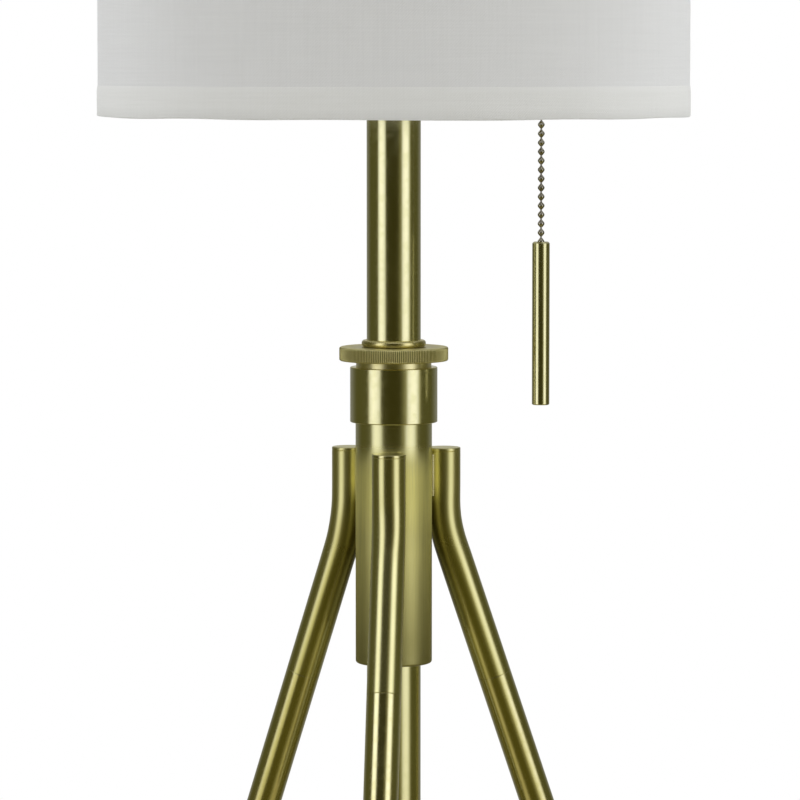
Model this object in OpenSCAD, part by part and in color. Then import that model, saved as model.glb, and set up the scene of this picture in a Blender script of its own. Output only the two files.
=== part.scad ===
// Tripod table lamp: a drum shade on a height-adjustable pole, clamped in a hub on three splayed legs.
// The origin is on the pole's axis at table level, with +Z up and the front leg towards -Y.

/* [Shade] */
// Outside diameter of the drum shade over its hems
shade_d = 277.2; // [250:0.1:330]
// Height of the shade from hem to hem
shade_h = 215; // [190:1:250]
// Height of the shade's lower edge above the table, with the pole as photographed
shade_bottom_z = 480.7; // [465:0.1:510]
// Width of the folded hem at the top and bottom edges
hem_w = 14.5; // [8:0.5:22]
// Thickness of the hem tape
hem_t = 0.4; // [0.3:0.1:0.8]
// Thickness of the linen skin
linen_t = 0.8; // [0.5:0.1:1.2]
// Thickness of the stiff liner behind the linen
liner_t = 0.6; // [0.4:0.1:1]
// Diameter of the wire in the top and bottom rings
ring_wire_d = 4; // [3:0.5:5]
// Diameter of the wire of the three spider arms
arm_wire_d = 3.2; // [2.5:0.1:4]
// Diameter of the washer that carries the spider arms
washer_d = 28; // [22:1:36]
// Thickness of that washer
washer_t = 2; // [1.5:0.5:3]

/* [Pole] */
// Outside diameter of the brass pole
pole_d = 25.4; // [22:0.1:28]
// Wall thickness of the pole
pole_wall = 1.2; // [0.8:0.1:2]
// Depth of the pole's top edge inside the shade, above the shade's lower edge
pole_inset = 11.3; // [6:0.1:14]
// How far the pole rises from its photographed place
pole_rise = 100; // [60:5:105]
// Diameter of the end cap that stops the pole in the hub
stop_d = 30; // [28:0.5:32]
// Thickness of that end cap
stop_t = 8; // [5:0.5:12]
// Bore of the bushing where the cord leaves the pole
cord_bore_d = 7.5; // [6:0.5:9]

/* [Hub and clamp] */
// Outside diameter of the hub tube
hub_d = 36; // [34:0.1:40]
// Wall thickness of the hub tube
hub_wall = 1.5; // [1:0.1:2]
// Height of the hub tube's lower edge above the table
hub_bottom_z = 223.3; // [200:0.1:250]
// Length of the hub tube, with the stretch inside the sleeve
hub_len = 123.2; // [110:0.1:130]
// Length of the guide bush in the hub's lower end
bush_len = 20; // [10:1:30]
// Depth of the guide bush above the hub's lower edge
bush_inset = 1; // [0.5:0.5:4]
// Outside diameter of the collar sleeve
sleeve_d = 41.1; // [40:0.1:44]
// Height of the collar sleeve
sleeve_h = 26; // [24:0.1:32]
// Length of the hub tube inside the sleeve
sleeve_lap = 9.2; // [6:0.1:12]
// Outside diameter of the nut's threaded shank
shank_d = 35.4; // [34:0.1:36]
// Height of the shank that shows between the sleeve and the flange
shank_gap = 2.9; // [0.8:0.1:4]
// Diameter of the nut's knurled flange
nut_d = 51.2; // [46:0.1:58]
// Height of the knurled flange
nut_h = 6.5; // [6:0.1:12]
// Outside diameter of the trim ring on top of the nut
trim_d = 30.2; // [29:0.1:34]
// Height of the trim ring
trim_h = 3.3; // [2:0.1:4]
// Height of the split collet that grips the pole
collet_h = 9; // [7:0.5:10]

/* [Legs] */
// Outside diameter of the leg tubes
leg_d = 16; // [14:0.5:18]
// Wall thickness of the leg tubes
leg_wall = 1.2; // [0.8:0.1:2]
// Splay of the lower legs from the vertical
splay = 20; // [16:0.5:22]
// Centre-line radius of the bend
bend_r = 70; // [50:5:90]
// Height of the legs' flat tops below the sleeve
leg_top_drop = 12.9; // [4:0.1:20]
// Height from the legs' flat tops down to the corner of the bend
bend_drop = 35.7; // [30:0.1:45]
// Length of the upper leg from the corner of the bend to the seam
upper_run = 78.5; // [60:0.5:100]
// Thickness of the cap on each leg's top
leg_cap_t = 1.5; // [1:0.1:3]
// Diameter of the threaded stud that joins the leg's halves
stud_d = 8; // [6:0.5:9]
// Length of that stud
stud_len = 12; // [8:1:14]
// Length of the plugs pressed into the tubes at the joint and at the foot
plug_len = 15; // [14:1:20]
// Least height of the foot's rubber below the tube
foot_h = 4; // [2:0.5:8]

/* [Harp, nipple and bracket] */
// Diameter of the threaded nipple
nipple_d = 10; // [9.5:0.1:10.5]
// Bore of the threaded nipple
nipple_bore_d = 6.5; // [5:0.5:7]
// Length of the plug in the pole's top
top_plug_len = 12; // [8:1:16]
// Thickness of the plug's lip over the pole
lip_t = 2; // [1:0.5:3]
// Size of the lock nuts across their flats
lock_af = 14; // [13:0.5:15]
// Height of the lock nuts
lock_h = 4; // [3:0.5:5]
// Thickness of the switch bracket
bracket_t = 2; // [1.5:0.5:3]
// Width of the switch bracket
bracket_w = 18; // [16:1:22]
// Thickness of the harp saddle
saddle_t = 1.5; // [1:0.5:2]
// Width of the harp saddle
saddle_w = 14; // [12:1:16]
// Height of the harp from its saddle
harp_h = 178; // [165:1:185]
// Widest half-width of the harp
harp_reach = 55; // [50:1:62]
// Half-width of the harp at its foot
harp_foot = 27; // [25:0.5:29]
// Diameter of the harp's wire
harp_wire_d = 4; // [3.5:0.1:4.5]
// Length of the sleeves that lock the harp to its saddle
lock_sleeve_len = 12; // [10:0.5:14]
// Diameter of the threaded stud on the harp's top
harp_stud_d = 6.35; // [6:0.05:7]
// Length of that stud above the spider washer
harp_stud_len = 12; // [9:0.5:13]

/* [Socket and bulb] */
// Outside diameter of the socket's shell
socket_d = 33.8; // [33:0.1:36]
// Height of the socket's shell
socket_h = 46; // [42:1:52]
// Outside diameter of the bulb's screw base
base_d = 26.2; // [26:0.1:26.6]
// Length of the bulb from its contact to its top
bulb_len = 105; // [100:1:115]
// Diameter of the bulb's globe
globe_d = 60; // [50:1:62]
// Thickness of the globe's glass
glass_t = 0.8; // [0.5:0.1:1.2]

/* [Pull chain and switch] */
// Distance of the pull chain from the pole's axis
chain_r = 69.1; // [60:0.1:80]
// Diameter of one bead of the chain
bead_d = 3.2; // [2.8:0.1:3.4]
// Distance from bead to bead
bead_pitch = 4.2; // [4:0.1:4.6]
// Number of beads that hang below the pivot bead
hang_beads = 15; // [10:1:20]
// Diameter of the fob
fob_d = 8.2; // [6:0.1:10]
// Length of the fob
fob_len = 76.5; // [50:0.5:85]
// Travel of the chain at the switch
pull_travel = 12; // [8:1:12]
// Height of the switch's case
case_h = 24; // [22:1:28]
// Width of the switch's case
case_w = 18; // [16:1:22]
// Wall thickness of the switch's case
case_wall = 1.5; // [1:0.1:2]

/* [Finial] */
// Diameter of the finial's ball
finial_d = 16; // [12:1:20]
// Diameter of the finial's foot
finial_foot_d = 19; // [14:1:24]

/* [Clearances] */
// Radial clearance of pieces that turn or slide on each other
run_gap = 0.05; // [0.02:0.01:0.09]
// Clearance round pieces that hang or move freely
free_gap = 0.3; // [0.2:0.05:0.4]
// Clearance filled with glue or cement
glue_gap = 0.1; // [0.05:0.05:0.2]

/* [Hidden] */
$fn = 64;
eps = 0.01;
// Where a straight run joins a bend, it is this much thinner and reaches this far in
joint_step = 0.05;
joint_reach = 0.2;

brass = [0.69, 0.6, 0.38];
pale_brass = [0.78, 0.71, 0.52];
steel = [0.68, 0.68, 0.66];
linen = [0.87, 0.87, 0.85];
hem_linen = [0.85, 0.84, 0.78];
black = [0.12, 0.12, 0.12];
phenolic = [0.16, 0.13, 0.11];
white_glass = [0.95, 0.94, 0.9];
clear_glass = [0.8, 0.85, 0.86];
fibre = [0.35, 0.24, 0.16];

// Directions of the three legs, seen from above
front = -90;
right = 30;
left = 150;

// Radii of the pole, hub and clamp
pole_r = pole_d / 2;
pole_bore_r = pole_r - pole_wall;
hub_r = hub_d / 2;
hub_bore_r = hub_r - hub_wall;
shank_r = shank_d / 2;
sleeve_bore_r = shank_r + run_gap;
nut_r = nut_d / 2;

// Heights of the hub and clamp
hub_top_z = hub_bottom_z + hub_len;
sleeve_bottom_z = hub_top_z - sleeve_lap;
sleeve_top_z = sleeve_bottom_z + sleeve_h;
flange_z = sleeve_top_z + shank_gap;
nut_top_z = flange_z + nut_h;
bush_z = hub_bottom_z + bush_inset;
collet_top_z = hub_top_z + collet_h;
collet_land = 2;
collet_skirt = 3;
cone_top_r = pole_r + collet_land;
cone_foot_r = shank_r - hub_wall / 2;
shank_bottom_z = hub_top_z + collet_skirt + free_gap;
slit_w = 1;
slits = 4;

// Heights and places of the legs
leg_r = leg_d / 2;
leg_bore_r = leg_r - leg_wall;
leg_axis_r = hub_r + leg_r;
leg_top_z = sleeve_bottom_z - leg_top_drop;
bend_z = leg_top_z - bend_drop;
bend_tangent = bend_r * tan(splay / 2);
bend_start_z = bend_z + bend_tangent;
lower_end = (bend_z - foot_h - leg_r * sin(splay)) / cos(splay);
weld_in = 1.2;
weld_out = 3.2;

// Heights of the pole and of what is stacked on its nipple
pole_top_z = shade_bottom_z + pole_inset;
stop_top_z = bush_z - pole_rise - free_gap;
stop_z = stop_top_z - stop_t;
bracket_z = pole_top_z + lip_t;
bracket_top_z = bracket_z + bracket_t;
saddle_z = bracket_top_z + lock_h;
cap_z = saddle_z + saddle_t;
cap_hub_h = 7;
nipple_r = nipple_d / 2;
nipple_z = pole_top_z - top_plug_len - lock_h - 2;
nipple_top_z = cap_z + cap_hub_h - 1;

// The harp: a straight foot, an outward jog, a straight side and a round shoulder
harp_wire_r = harp_wire_d / 2;
pin_rise = 10;
pin_z = saddle_z + pin_rise;
pin_h = lock_sleeve_len * 7 / 12;
harp_z = pin_z + pin_h;
harp_top_z = saddle_z + harp_h - harp_wire_r;
harp_straight = 2 * lock_sleeve_len - pin_h + 3;
jog_r = 25;
jog_angle = 45;
jog_run = (harp_reach - harp_foot - 2 * jog_r * (1 - cos(jog_angle))) / sin(jog_angle);
shoulder_r = 45;
harp_side = harp_top_z - harp_z - harp_straight - shoulder_r
    - 2 * jog_r * sin(jog_angle) - jog_run * cos(jog_angle);
sleeve_wall = 1.2;
tongue_w = 6;
tongue_z = pin_z - 3;
stud_base_r = 6;
stud_base_h = 7;
washer_z = harp_top_z - harp_wire_r / 2 + stud_base_h - 2;

// The socket, from its cap's floor up
cap_floor_t = 2.5;
floor_z = cap_z + cap_hub_h + 1 + cap_floor_t;
cap_rim_h = 9;
shell_t = 0.7;
shell_r = socket_d / 2;
shell_bore_r = shell_r - shell_t;
paper_t = 0.6;
paper_r = shell_bore_r - glue_gap;
core_r = paper_r - paper_t - glue_gap;
core_h = 16;
core_top_z = floor_z + core_h;
screw_reach = 10;
screw_rise = 8;
screw_r = 1.6;
base_r = base_d / 2;
screw_shell_r = base_r + run_gap;
screw_shell_t = 0.4;
contact_z = core_top_z + 2.5;
tip_z = contact_z + free_gap;
tip_h = 1.2;
cone_h = 2.5;
base_z = tip_z + tip_h + cone_h;
base_h = 20.5;
base_t = 0.4;
neck_r = base_r - base_t - glue_gap;
neck_z = base_z + base_h - 6;
globe_r = globe_d / 2;
globe_z = tip_z + bulb_len - globe_r;
flare_r = 40;
flare_z = globe_z - sqrt(pow(flare_r + globe_r, 2) - pow(neck_r + flare_r, 2));
filament_drop = 12;
filament_z = globe_z - filament_drop;
filament_half = 12;
stem_drop = 8;

// The shade, from the outside in
shade_r = shade_d / 2;
shade_top_z = shade_bottom_z + shade_h;
linen_r = shade_r - hem_t;
liner_r = linen_r - linen_t;
liner_bore_r = liner_r - liner_t;
ring_wire_r = ring_wire_d / 2;
ring_r = liner_bore_r - glue_gap - ring_wire_r;
hem_bore_r = ring_r - ring_wire_r - glue_gap;
bottom_ring_z = shade_bottom_z + hem_t + glue_gap + ring_wire_r;
top_ring_z = shade_top_z - hem_t - glue_gap - ring_wire_r;
hem_return = ring_wire_d + 2;
arm_angles = [90, 210, 330];

// The switch and its chain
bead_r = bead_d / 2;
mouth_past_nut = 2.5;
mouth_z = bracket_z - lock_h - mouth_past_nut;
pivot_z = mouth_z - bead_r - 2 * free_gap;
link_r = 0.5;
drum_reach = pull_travel / (PI / 2);
drum_x = chain_r - drum_reach;
drum_r = drum_reach - bead_r - free_gap;
drum_z = bracket_top_z + case_h / 2;
inner_beads = floor((drum_z - pivot_z) / bead_pitch);
case_x = drum_x - drum_r - 2 - case_wall;
case_end_x = chain_r + nipple_r + 2;
journal_r = 1.5;
fob_r = fob_d / 2;
fob_top_z = pivot_z - hang_beads * bead_pitch;
spring_r = 3.2;
spring_wire_r = 0.35;
spring_turns = 4;

// A turned tube standing on z = 0, with a bevel on its outer edges
module turned_tube(r_in, r_out, h, bevel = 0.5) {
    rotate_extrude()
        polygon([[r_in, 0], [r_out - bevel, 0], [r_out, bevel],
            [r_out, h - bevel], [r_out - bevel, h], [r_in, h]]);
}

// The half outline of a ring with its two outer corners rounded
module rounded_band(r_in, r_out, h, round_r) {
    translate([r_in, round_r])
        square([r_out - r_in, h - 2 * round_r]);
    translate([r_in, 0])
        square([r_out - r_in - round_r, h]);
    for (z = [round_r, h - round_r])
        translate([r_out - round_r, z])
            circle(round_r);
}

// Puts a leg's own frame at its place: the tube's axis is x = 0 and the leg leans towards +X
module on_leg(direction) {
    rotate([0, 0, direction])
        translate([leg_axis_r, 0, 0])
            children();
}

// The frame of the splayed stretch: its axis runs down -Z from the corner of the bend
module along_splay() {
    translate([0, 0, bend_z])
        rotate([0, -splay, 0])
            children();
}

// A round wire through steps of [length] or [radius, angle], starting up +Z and turning towards +X.
// Its straight runs reach a little into the bends next to them, a hairline thinner.
module wire_run(steps, r, i = 0) {
    if (i < len(steps)) {
        step = steps[i];
        if (len(step) == 1) {
            reach_back = i > 0 ? joint_reach : 0;
            translate([0, 0, -reach_back])
                cylinder(h = step[0] + reach_back + joint_reach, r = r - joint_step);
            translate([0, 0, step[0]])
                wire_run(steps, r, i + 1);
        } else {
            turn = abs(step[1]);
            side = sign(step[1]);
            translate([side * step[0], 0, 0])
                rotate([90, 0, side > 0 ? 180 : 0])
                    mirror([0, 0, side > 0 ? 0 : 1])
                        rotate_extrude(angle = turn)
                            translate([step[0], 0])
                                circle(r);
            translate([side * step[0] * (1 - cos(turn)), 0, step[0] * sin(turn)])
                rotate([0, step[1], 0])
                    wire_run(steps, r, i + 1);
        }
    }
}

// A hexagon nut standing on z = 0
module lock_nut(bore_r) {
    difference() {
        cylinder(h = lock_h, r = lock_af / 2 / cos(30), $fn = 6);
        translate([0, 0, -eps])
            cylinder(h = lock_h + 2 * eps, r = bore_r);
    }
}

// Beads strung on their link wire, hanging down from z = 0, with a stub of link above and below
module bead_string(count, stub_up, stub_down) {
    for (i = [0:count - 1])
        translate([0, 0, -i * bead_pitch])
            sphere(bead_r);
    translate([0, 0, -(count - 1) * bead_pitch - stub_down])
        cylinder(h = (count - 1) * bead_pitch + stub_up + stub_down, r = link_r);
}

module hub_tube() {
    color(brass)
        translate([0, 0, hub_bottom_z])
            difference() {
                rotate_extrude()
                    rounded_band(hub_bore_r - 2, hub_r, hub_len, 1.2);
                translate([0, 0, -eps])
                    cylinder(h = hub_len + 2 * eps, r = hub_bore_r);
            }
}

module guide_bush() {
    color(black)
        translate([0, 0, bush_z])
            turned_tube(pole_r + run_gap, hub_bore_r, bush_len, 0.3);
}

module collar_sleeve() {
    color(brass)
        difference() {
            translate([0, 0, sleeve_bottom_z])
                turned_tube(sleeve_bore_r - 2, sleeve_d / 2, sleeve_h);
            translate([0, 0, sleeve_bottom_z - eps])
                cylinder(h = sleeve_lap + eps, r = hub_r);
            translate([0, 0, hub_top_z - eps])
                cylinder(h = sleeve_h, r = sleeve_bore_r);
        }
}

module collet() {
    color(pale_brass)
        difference() {
            translate([0, 0, hub_top_z])
                rotate_extrude()
                    polygon([[pole_r + run_gap, 0], [cone_foot_r, 0], [cone_foot_r, collet_skirt],
                        [cone_top_r, collet_h], [pole_r + run_gap, collet_h]]);
            for (i = [0:slits - 1])
                rotate([0, 0, 45 + i * 360 / slits])
                    translate([0, -slit_w / 2, hub_top_z + collet_skirt / 2])
                        cube([hub_r, slit_w, collet_h]);
        }
}

module clamp_nut() {
    color(pale_brass)
        difference() {
            union() {
                translate([0, 0, flange_z])
                    rotate_extrude()
                        rounded_band(pole_r, nut_r, nut_h, 0.7);
                translate([0, 0, shank_bottom_z])
                    cylinder(h = flange_z - shank_bottom_z + eps, r = shank_r);
            }
            translate([0, 0, shank_bottom_z - eps])
                cylinder(h = nut_top_z - shank_bottom_z + 2 * eps, r = pole_r + run_gap);
            translate([0, 0, hub_top_z + collet_skirt])
                cylinder(h = collet_h - collet_skirt,
                    r1 = cone_foot_r + free_gap, r2 = cone_top_r + free_gap);
            translate([0, 0, collet_top_z - eps])
                cylinder(h = free_gap, r = cone_top_r + free_gap);
        }
}

module trim_ring() {
    color(brass)
        translate([0, 0, nut_top_z])
            difference() {
                rotate_extrude()
                    rounded_band(pole_r, trim_d / 2, trim_h, 1);
                translate([0, 0, -eps])
                    cylinder(h = trim_h + 2 * eps, r = pole_r + run_gap);
            }
}

module upper_leg(direction) {
    color(brass)
        on_leg(direction) {
            translate([0, 0, bend_start_z])
                leg_tube(leg_top_z - leg_cap_t - bend_start_z);
            translate([bend_r, 0, bend_start_z])
                rotate([-90, 0, 180])
                    rotate_extrude(angle = splay)
                        translate([bend_r, 0])
                            difference() {
                                circle(leg_r);
                                circle(leg_bore_r);
                            }
            along_splay()
                translate([0, 0, -upper_run])
                    leg_tube(upper_run - bend_tangent + joint_reach, joint_step);
        }
}

module leg_tube(length, step = 0) {
    difference() {
        cylinder(h = length, r = leg_r - step);
        translate([0, 0, -eps])
            cylinder(h = length + 2 * eps, r = leg_bore_r + step);
    }
}

module leg_cap(direction) {
    color(brass)
        on_leg(direction)
            translate([0, 0, leg_top_z - leg_cap_t]) {
                cylinder(h = leg_cap_t - 0.5, r = leg_r);
                translate([0, 0, leg_cap_t - 0.5])
                    cylinder(h = 0.5, r1 = leg_r, r2 = leg_r - 0.5);
                translate([0, 0, -leg_cap_t * 3])
                    cylinder(h = leg_cap_t * 3, r = leg_bore_r);
            }
}

// Two beads of weld along the line where each leg's straight top touches the hub
module leg_welds() {
    color(pale_brass)
        for (direction = [front, right, left])
            for (side = [0, 1])
                on_leg(direction)
                    mirror([0, side, 0])
                        translate([0, 0, bend_start_z])
                            difference() {
                                translate([-leg_r * 1.5, weld_in, 0])
                                    cube([leg_r, weld_out - weld_in,
                                        leg_top_z - leg_cap_t - bend_start_z - 1]);
                                translate([0, 0, -1])
                                    cylinder(h = leg_top_z, r = leg_r, $fn = 360);
                                translate([-leg_axis_r, 0, -1])
                                    cylinder(h = leg_top_z, r = hub_r, $fn = 360);
                            }
}

module leg_sockets() {
    color(steel)
        for (direction = [front, right, left])
            on_leg(direction)
                along_splay()
                    translate([0, 0, -upper_run])
                        difference() {
                            cylinder(h = plug_len, r = leg_bore_r);
                            translate([0, 0, -eps])
                                cylinder(h = plug_len + 2 * eps, r = stud_d / 2 + run_gap);
                        }
}

module leg_studs() {
    color(steel)
        for (direction = [front, right, left])
            on_leg(direction)
                along_splay()
                    translate([0, 0, -upper_run]) {
                        translate([0, 0, -plug_len])
                            cylinder(h = plug_len, r = leg_bore_r);
                        cylinder(h = stud_len, r = stud_d / 2);
                    }
}

module lower_leg(direction) {
    color(brass)
        on_leg(direction)
            along_splay()
                translate([0, 0, -lower_end])
                    leg_tube(lower_end - upper_run);
}

// The rubber tip: a plug in the tube and a head that is cut level with the table
module foot_tip(direction) {
    color(black)
        on_leg(direction) {
            along_splay()
                translate([0, 0, -lower_end])
                    cylinder(h = plug_len, r = leg_bore_r);
            difference() {
                along_splay()
                    translate([0, 0, -lower_end - foot_h - leg_d])
                        cylinder(h = foot_h + leg_d, r = leg_r);
                translate([0, -leg_d, -2 * leg_d])
                    cube([bend_z, 2 * leg_d, 2 * leg_d]);
            }
        }
}

module pole() {
    color(brass)
        translate([0, 0, stop_top_z])
            difference() {
                cylinder(h = pole_top_z - stop_top_z, r = pole_r);
                translate([0, 0, -eps])
                    cylinder(h = pole_top_z - stop_top_z + 2 * eps, r = pole_bore_r);
            }
}

module pole_end_cap() {
    color(brass)
        difference() {
            union() {
                translate([0, 0, stop_z])
                    turned_tube(cord_bore_d / 2 + 1, stop_d / 2, stop_t, 0.8);
                translate([0, 0, stop_top_z - eps])
                    cylinder(h = stop_t + eps, r = pole_bore_r);
            }
            translate([0, 0, stop_z - eps])
                cylinder(h = 2 * stop_t + 2 * eps, r = cord_bore_d / 2 + 2.5);
        }
}

module cord_bushing() {
    color(black)
        difference() {
            union() {
                translate([0, 0, stop_z - 1.5])
                    cylinder(h = 1.5, r = cord_bore_d / 2 + 4.5);
                translate([0, 0, stop_z - eps])
                    cylinder(h = 2 * stop_t + eps, r = cord_bore_d / 2 + 2.5);
            }
            translate([0, 0, stop_z - 1.5 - eps])
                cylinder(h = 2 * stop_t + 1.5 + 2 * eps, r = cord_bore_d / 2);
        }
}

module pole_top_plug() {
    color(steel)
        difference() {
            union() {
                translate([0, 0, pole_top_z - top_plug_len])
                    cylinder(h = top_plug_len, r = pole_bore_r);
                translate([0, 0, pole_top_z])
                    cylinder(h = lip_t, r = pole_r);
            }
            translate([0, 0, pole_top_z - top_plug_len - eps])
                cylinder(h = top_plug_len + lip_t + 2 * eps, r = nipple_r);
        }
}

module nipple() {
    color(steel)
        difference() {
            translate([0, 0, nipple_z])
                cylinder(h = nipple_top_z - nipple_z, r = nipple_r);
            translate([0, 0, nipple_z - eps])
                cylinder(h = nipple_top_z - nipple_z + 2 * eps, r = nipple_bore_d / 2);
        }
}

// One nut under the pole's plug, one on the bracket and one under the switch
module lock_nuts() {
    color(steel) {
        translate([0, 0, pole_top_z - top_plug_len - lock_h])
            lock_nut(nipple_r);
        translate([0, 0, bracket_top_z])
            lock_nut(nipple_r);
        translate([chain_r, 0, bracket_z - lock_h])
            lock_nut(nipple_r);
    }
}

module switch_bracket() {
    color(steel)
        difference() {
            translate([0, 0, bracket_z]) {
                cylinder(h = bracket_t, r = bracket_w / 2);
                translate([0, -bracket_w / 2, 0])
                    cube([chain_r, bracket_w, bracket_t]);
                translate([chain_r, 0, 0])
                    cylinder(h = bracket_t, r = bracket_w / 2);
            }
            for (x = [0, chain_r])
                translate([x, 0, bracket_z - eps])
                    cylinder(h = bracket_t + 2 * eps, r = nipple_r);
        }
}

// A bent strip: a flat middle on the nipple, two slanted arms, and two upright tongues with pins
module harp_saddle() {
    flat_half = harp_foot - 7;
    color(steel)
        difference() {
            union() {
                translate([-saddle_w / 2, -flat_half, saddle_z])
                    cube([saddle_w, 2 * flat_half, saddle_t]);
                for (side = [0, 1])
                    mirror([0, side, 0]) {
                        rotate([90, 0, 90])
                            translate([0, 0, -saddle_w / 2])
                                linear_extrude(height = saddle_w)
                                    polygon([[flat_half, saddle_z], [harp_foot + saddle_t / 2, tongue_z],
                                        [harp_foot - saddle_t / 2, tongue_z],
                                        [flat_half, saddle_z + saddle_t]]);
                        translate([-tongue_w / 2, harp_foot - saddle_t / 2, tongue_z])
                            cube([tongue_w, saddle_t, pin_z - tongue_z]);
                        translate([0, harp_foot, pin_z - 2])
                            cylinder(h = pin_h + 2, r = harp_wire_r);
                    }
            }
            translate([0, 0, saddle_z - eps])
                cylinder(h = saddle_t + 2 * eps, r = nipple_r);
        }
}

module harp() {
    steps = [[harp_straight], [jog_r, jog_angle], [jog_run], [jog_r, -jog_angle],
        [harp_side], [shoulder_r, -90]];
    top_half = harp_reach - shoulder_r + joint_reach;
    color(brass) {
        for (side = [90, 270])
            rotate([0, 0, side])
                translate([harp_foot, 0, harp_z])
                    wire_run(steps, harp_wire_r);
        translate([0, -top_half, harp_top_z])
            rotate([-90, 0, 0])
                cylinder(h = 2 * top_half, r = harp_wire_r - joint_step);
    }
}

module harp_sleeve(side) {
    color(brass)
        translate([0, side * harp_foot, pin_z])
            turned_tube(harp_wire_r + run_gap, harp_wire_r + run_gap + sleeve_wall,
                lock_sleeve_len, 0.3);
}

module harp_stud() {
    color(brass)
        difference() {
            union() {
                translate([0, 0, washer_z - stud_base_h])
                    cylinder(h = stud_base_h, r = stud_base_r);
                translate([0, 0, washer_z])
                    cylinder(h = washer_t + harp_stud_len, r = harp_stud_d / 2);
            }
            translate([0, -stud_base_r - 1, harp_top_z])
                rotate([-90, 0, 0])
                    cylinder(h = 2 * stud_base_r + 2, r = harp_wire_r);
        }
}

module socket_cap() {
    cap_r = shell_r + glue_gap + shell_t;
    color(brass)
        difference() {
            union() {
                translate([0, 0, cap_z])
                    cylinder(h = cap_hub_h + 1, r = nipple_r + 2.5);
                translate([0, 0, floor_z - cap_floor_t])
                    rotate_extrude()
                        intersection() {
                            rounded_band(0, cap_r, cap_rim_h + 6, cap_floor_t);
                            square([cap_r, cap_rim_h]);
                        }
            }
            translate([0, 0, cap_z - eps])
                cylinder(h = floor_z - cap_z + 2 * eps, r = nipple_r);
            translate([0, 0, floor_z])
                cylinder(h = cap_rim_h, r = shell_r + glue_gap);
        }
}

module socket_core() {
    color(phenolic)
        difference() {
            translate([0, 0, floor_z])
                cylinder(h = core_h, r = core_r);
            for (side = [0, 180])
                rotate([0, 0, side]) {
                    translate([core_r - 4, -4.5, floor_z + 3.5])
                        cube([5, 9, 9]);
                    translate([core_r - screw_reach, 0, floor_z + screw_rise])
                        rotate([0, 90, 0])
                            cylinder(h = 7, r = screw_r);
                }
            translate([0, 0, floor_z - eps])
                cylinder(h = 3, r = nipple_r + 1);
        }
}

module terminal_screws() {
    color(pale_brass)
        for (side = [0, 180])
            rotate([0, 0, side])
                translate([core_r - screw_reach, 0, floor_z + screw_rise])
                    rotate([0, 90, 0]) {
                        cylinder(h = 6 + eps, r = screw_r);
                        translate([0, 0, 6])
                            cylinder(h = 2, r = 2 * screw_r);
                    }
}

module socket_screw_shell() {
    color(brass)
        translate([0, 0, core_top_z])
            difference() {
                union() {
                    cylinder(h = socket_h - core_h - 4, r = screw_shell_r + screw_shell_t);
                    cylinder(h = screw_shell_t, r = core_r);
                }
                translate([0, 0, -eps])
                    cylinder(h = socket_h, r = screw_shell_r);
            }
}

module socket_contact() {
    color(brass)
        translate([0, 0, core_top_z]) {
            cylinder(h = screw_shell_t, r = 6);
            cylinder(h = contact_z - core_top_z, r = 2.5);
        }
}

module socket_liner() {
    color(fibre)
        translate([0, 0, floor_z])
            difference() {
                cylinder(h = socket_h - 2, r = paper_r);
                translate([0, 0, -eps])
                    cylinder(h = socket_h, r = paper_r - paper_t);
            }
}

module socket_shell() {
    color(brass)
        translate([0, 0, floor_z])
            difference() {
                cylinder(h = socket_h, r = shell_r);
                translate([0, 0, -eps])
                    cylinder(h = socket_h + 2 * eps, r = shell_bore_r);
            }
}

// Half outline of the bulb's glass, drawn inside its outer face by the given inset
module globe_outline(inset) {
    intersection() {
        union() {
            translate([0, globe_z])
                circle(globe_r - inset);
            difference() {
                polygon([[0, globe_z], [0, flare_z], [neck_r + flare_r, flare_z]]);
                translate([neck_r + flare_r, flare_z])
                    circle(flare_r + inset);
            }
            translate([0, neck_z - inset])
                square([neck_r - inset, flare_z - neck_z + inset]);
        }
        translate([0, neck_z - 1])
            square([globe_d, globe_z + globe_d]);
    }
}

module bulb_globe() {
    color(white_glass)
        rotate_extrude()
            difference() {
                globe_outline(0);
                globe_outline(glass_t);
            }
}

module bulb_base() {
    color(steel)
        translate([0, 0, base_z])
            difference() {
                cylinder(h = base_h, r = base_r);
                translate([0, 0, base_t])
                    cylinder(h = base_h, r = base_r - base_t);
                translate([0, 0, -eps])
                    cylinder(h = base_h, r = 5);
            }
}

module bulb_contact() {
    color(black)
        translate([0, 0, tip_z]) {
            cylinder(h = tip_h, r = 3);
            translate([0, 0, tip_h])
                cylinder(h = cone_h, r1 = 4, r2 = base_r - 1);
        }
}

module bulb_stem() {
    color(clear_glass)
        translate([0, 0, neck_z]) {
            cylinder(h = 1.5, r = neck_r - glass_t);
            cylinder(h = filament_z - neck_z - stem_drop, r = 3);
        }
}

module bulb_filament() {
    wire_r = 0.4;
    lean = atan((filament_half - 2) / stem_drop);
    foot_z = filament_z - stem_drop + wire_r * sin(lean);
    color(steel) {
        for (side = [-1, 1])
            translate([side * 2, 0, foot_z])
                rotate([0, side * lean, 0])
                    cylinder(h = norm([filament_half - 2, filament_z - foot_z]), r = wire_r);
        translate([-filament_half, 0, filament_z])
            rotate([0, 90, 0])
                cylinder(h = 2 * filament_half, r = wire_r);
        for (side = [-1, 1])
            translate([side * filament_half, 0, filament_z])
                sphere(wire_r * 1.5);
    }
}

module shade_fabric() {
    color(linen)
        translate([0, 0, shade_bottom_z + hem_t])
            difference() {
                cylinder(h = shade_h - 2 * hem_t, r = linen_r);
                translate([0, 0, -eps])
                    cylinder(h = shade_h, r = liner_r);
            }
}

module shade_liner() {
    color(white_glass)
        translate([0, 0, shade_bottom_z + hem_t])
            difference() {
                cylinder(h = shade_h - 2 * hem_t, r = liner_r);
                translate([0, 0, -eps])
                    cylinder(h = shade_h, r = liner_bore_r);
            }
}

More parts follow.
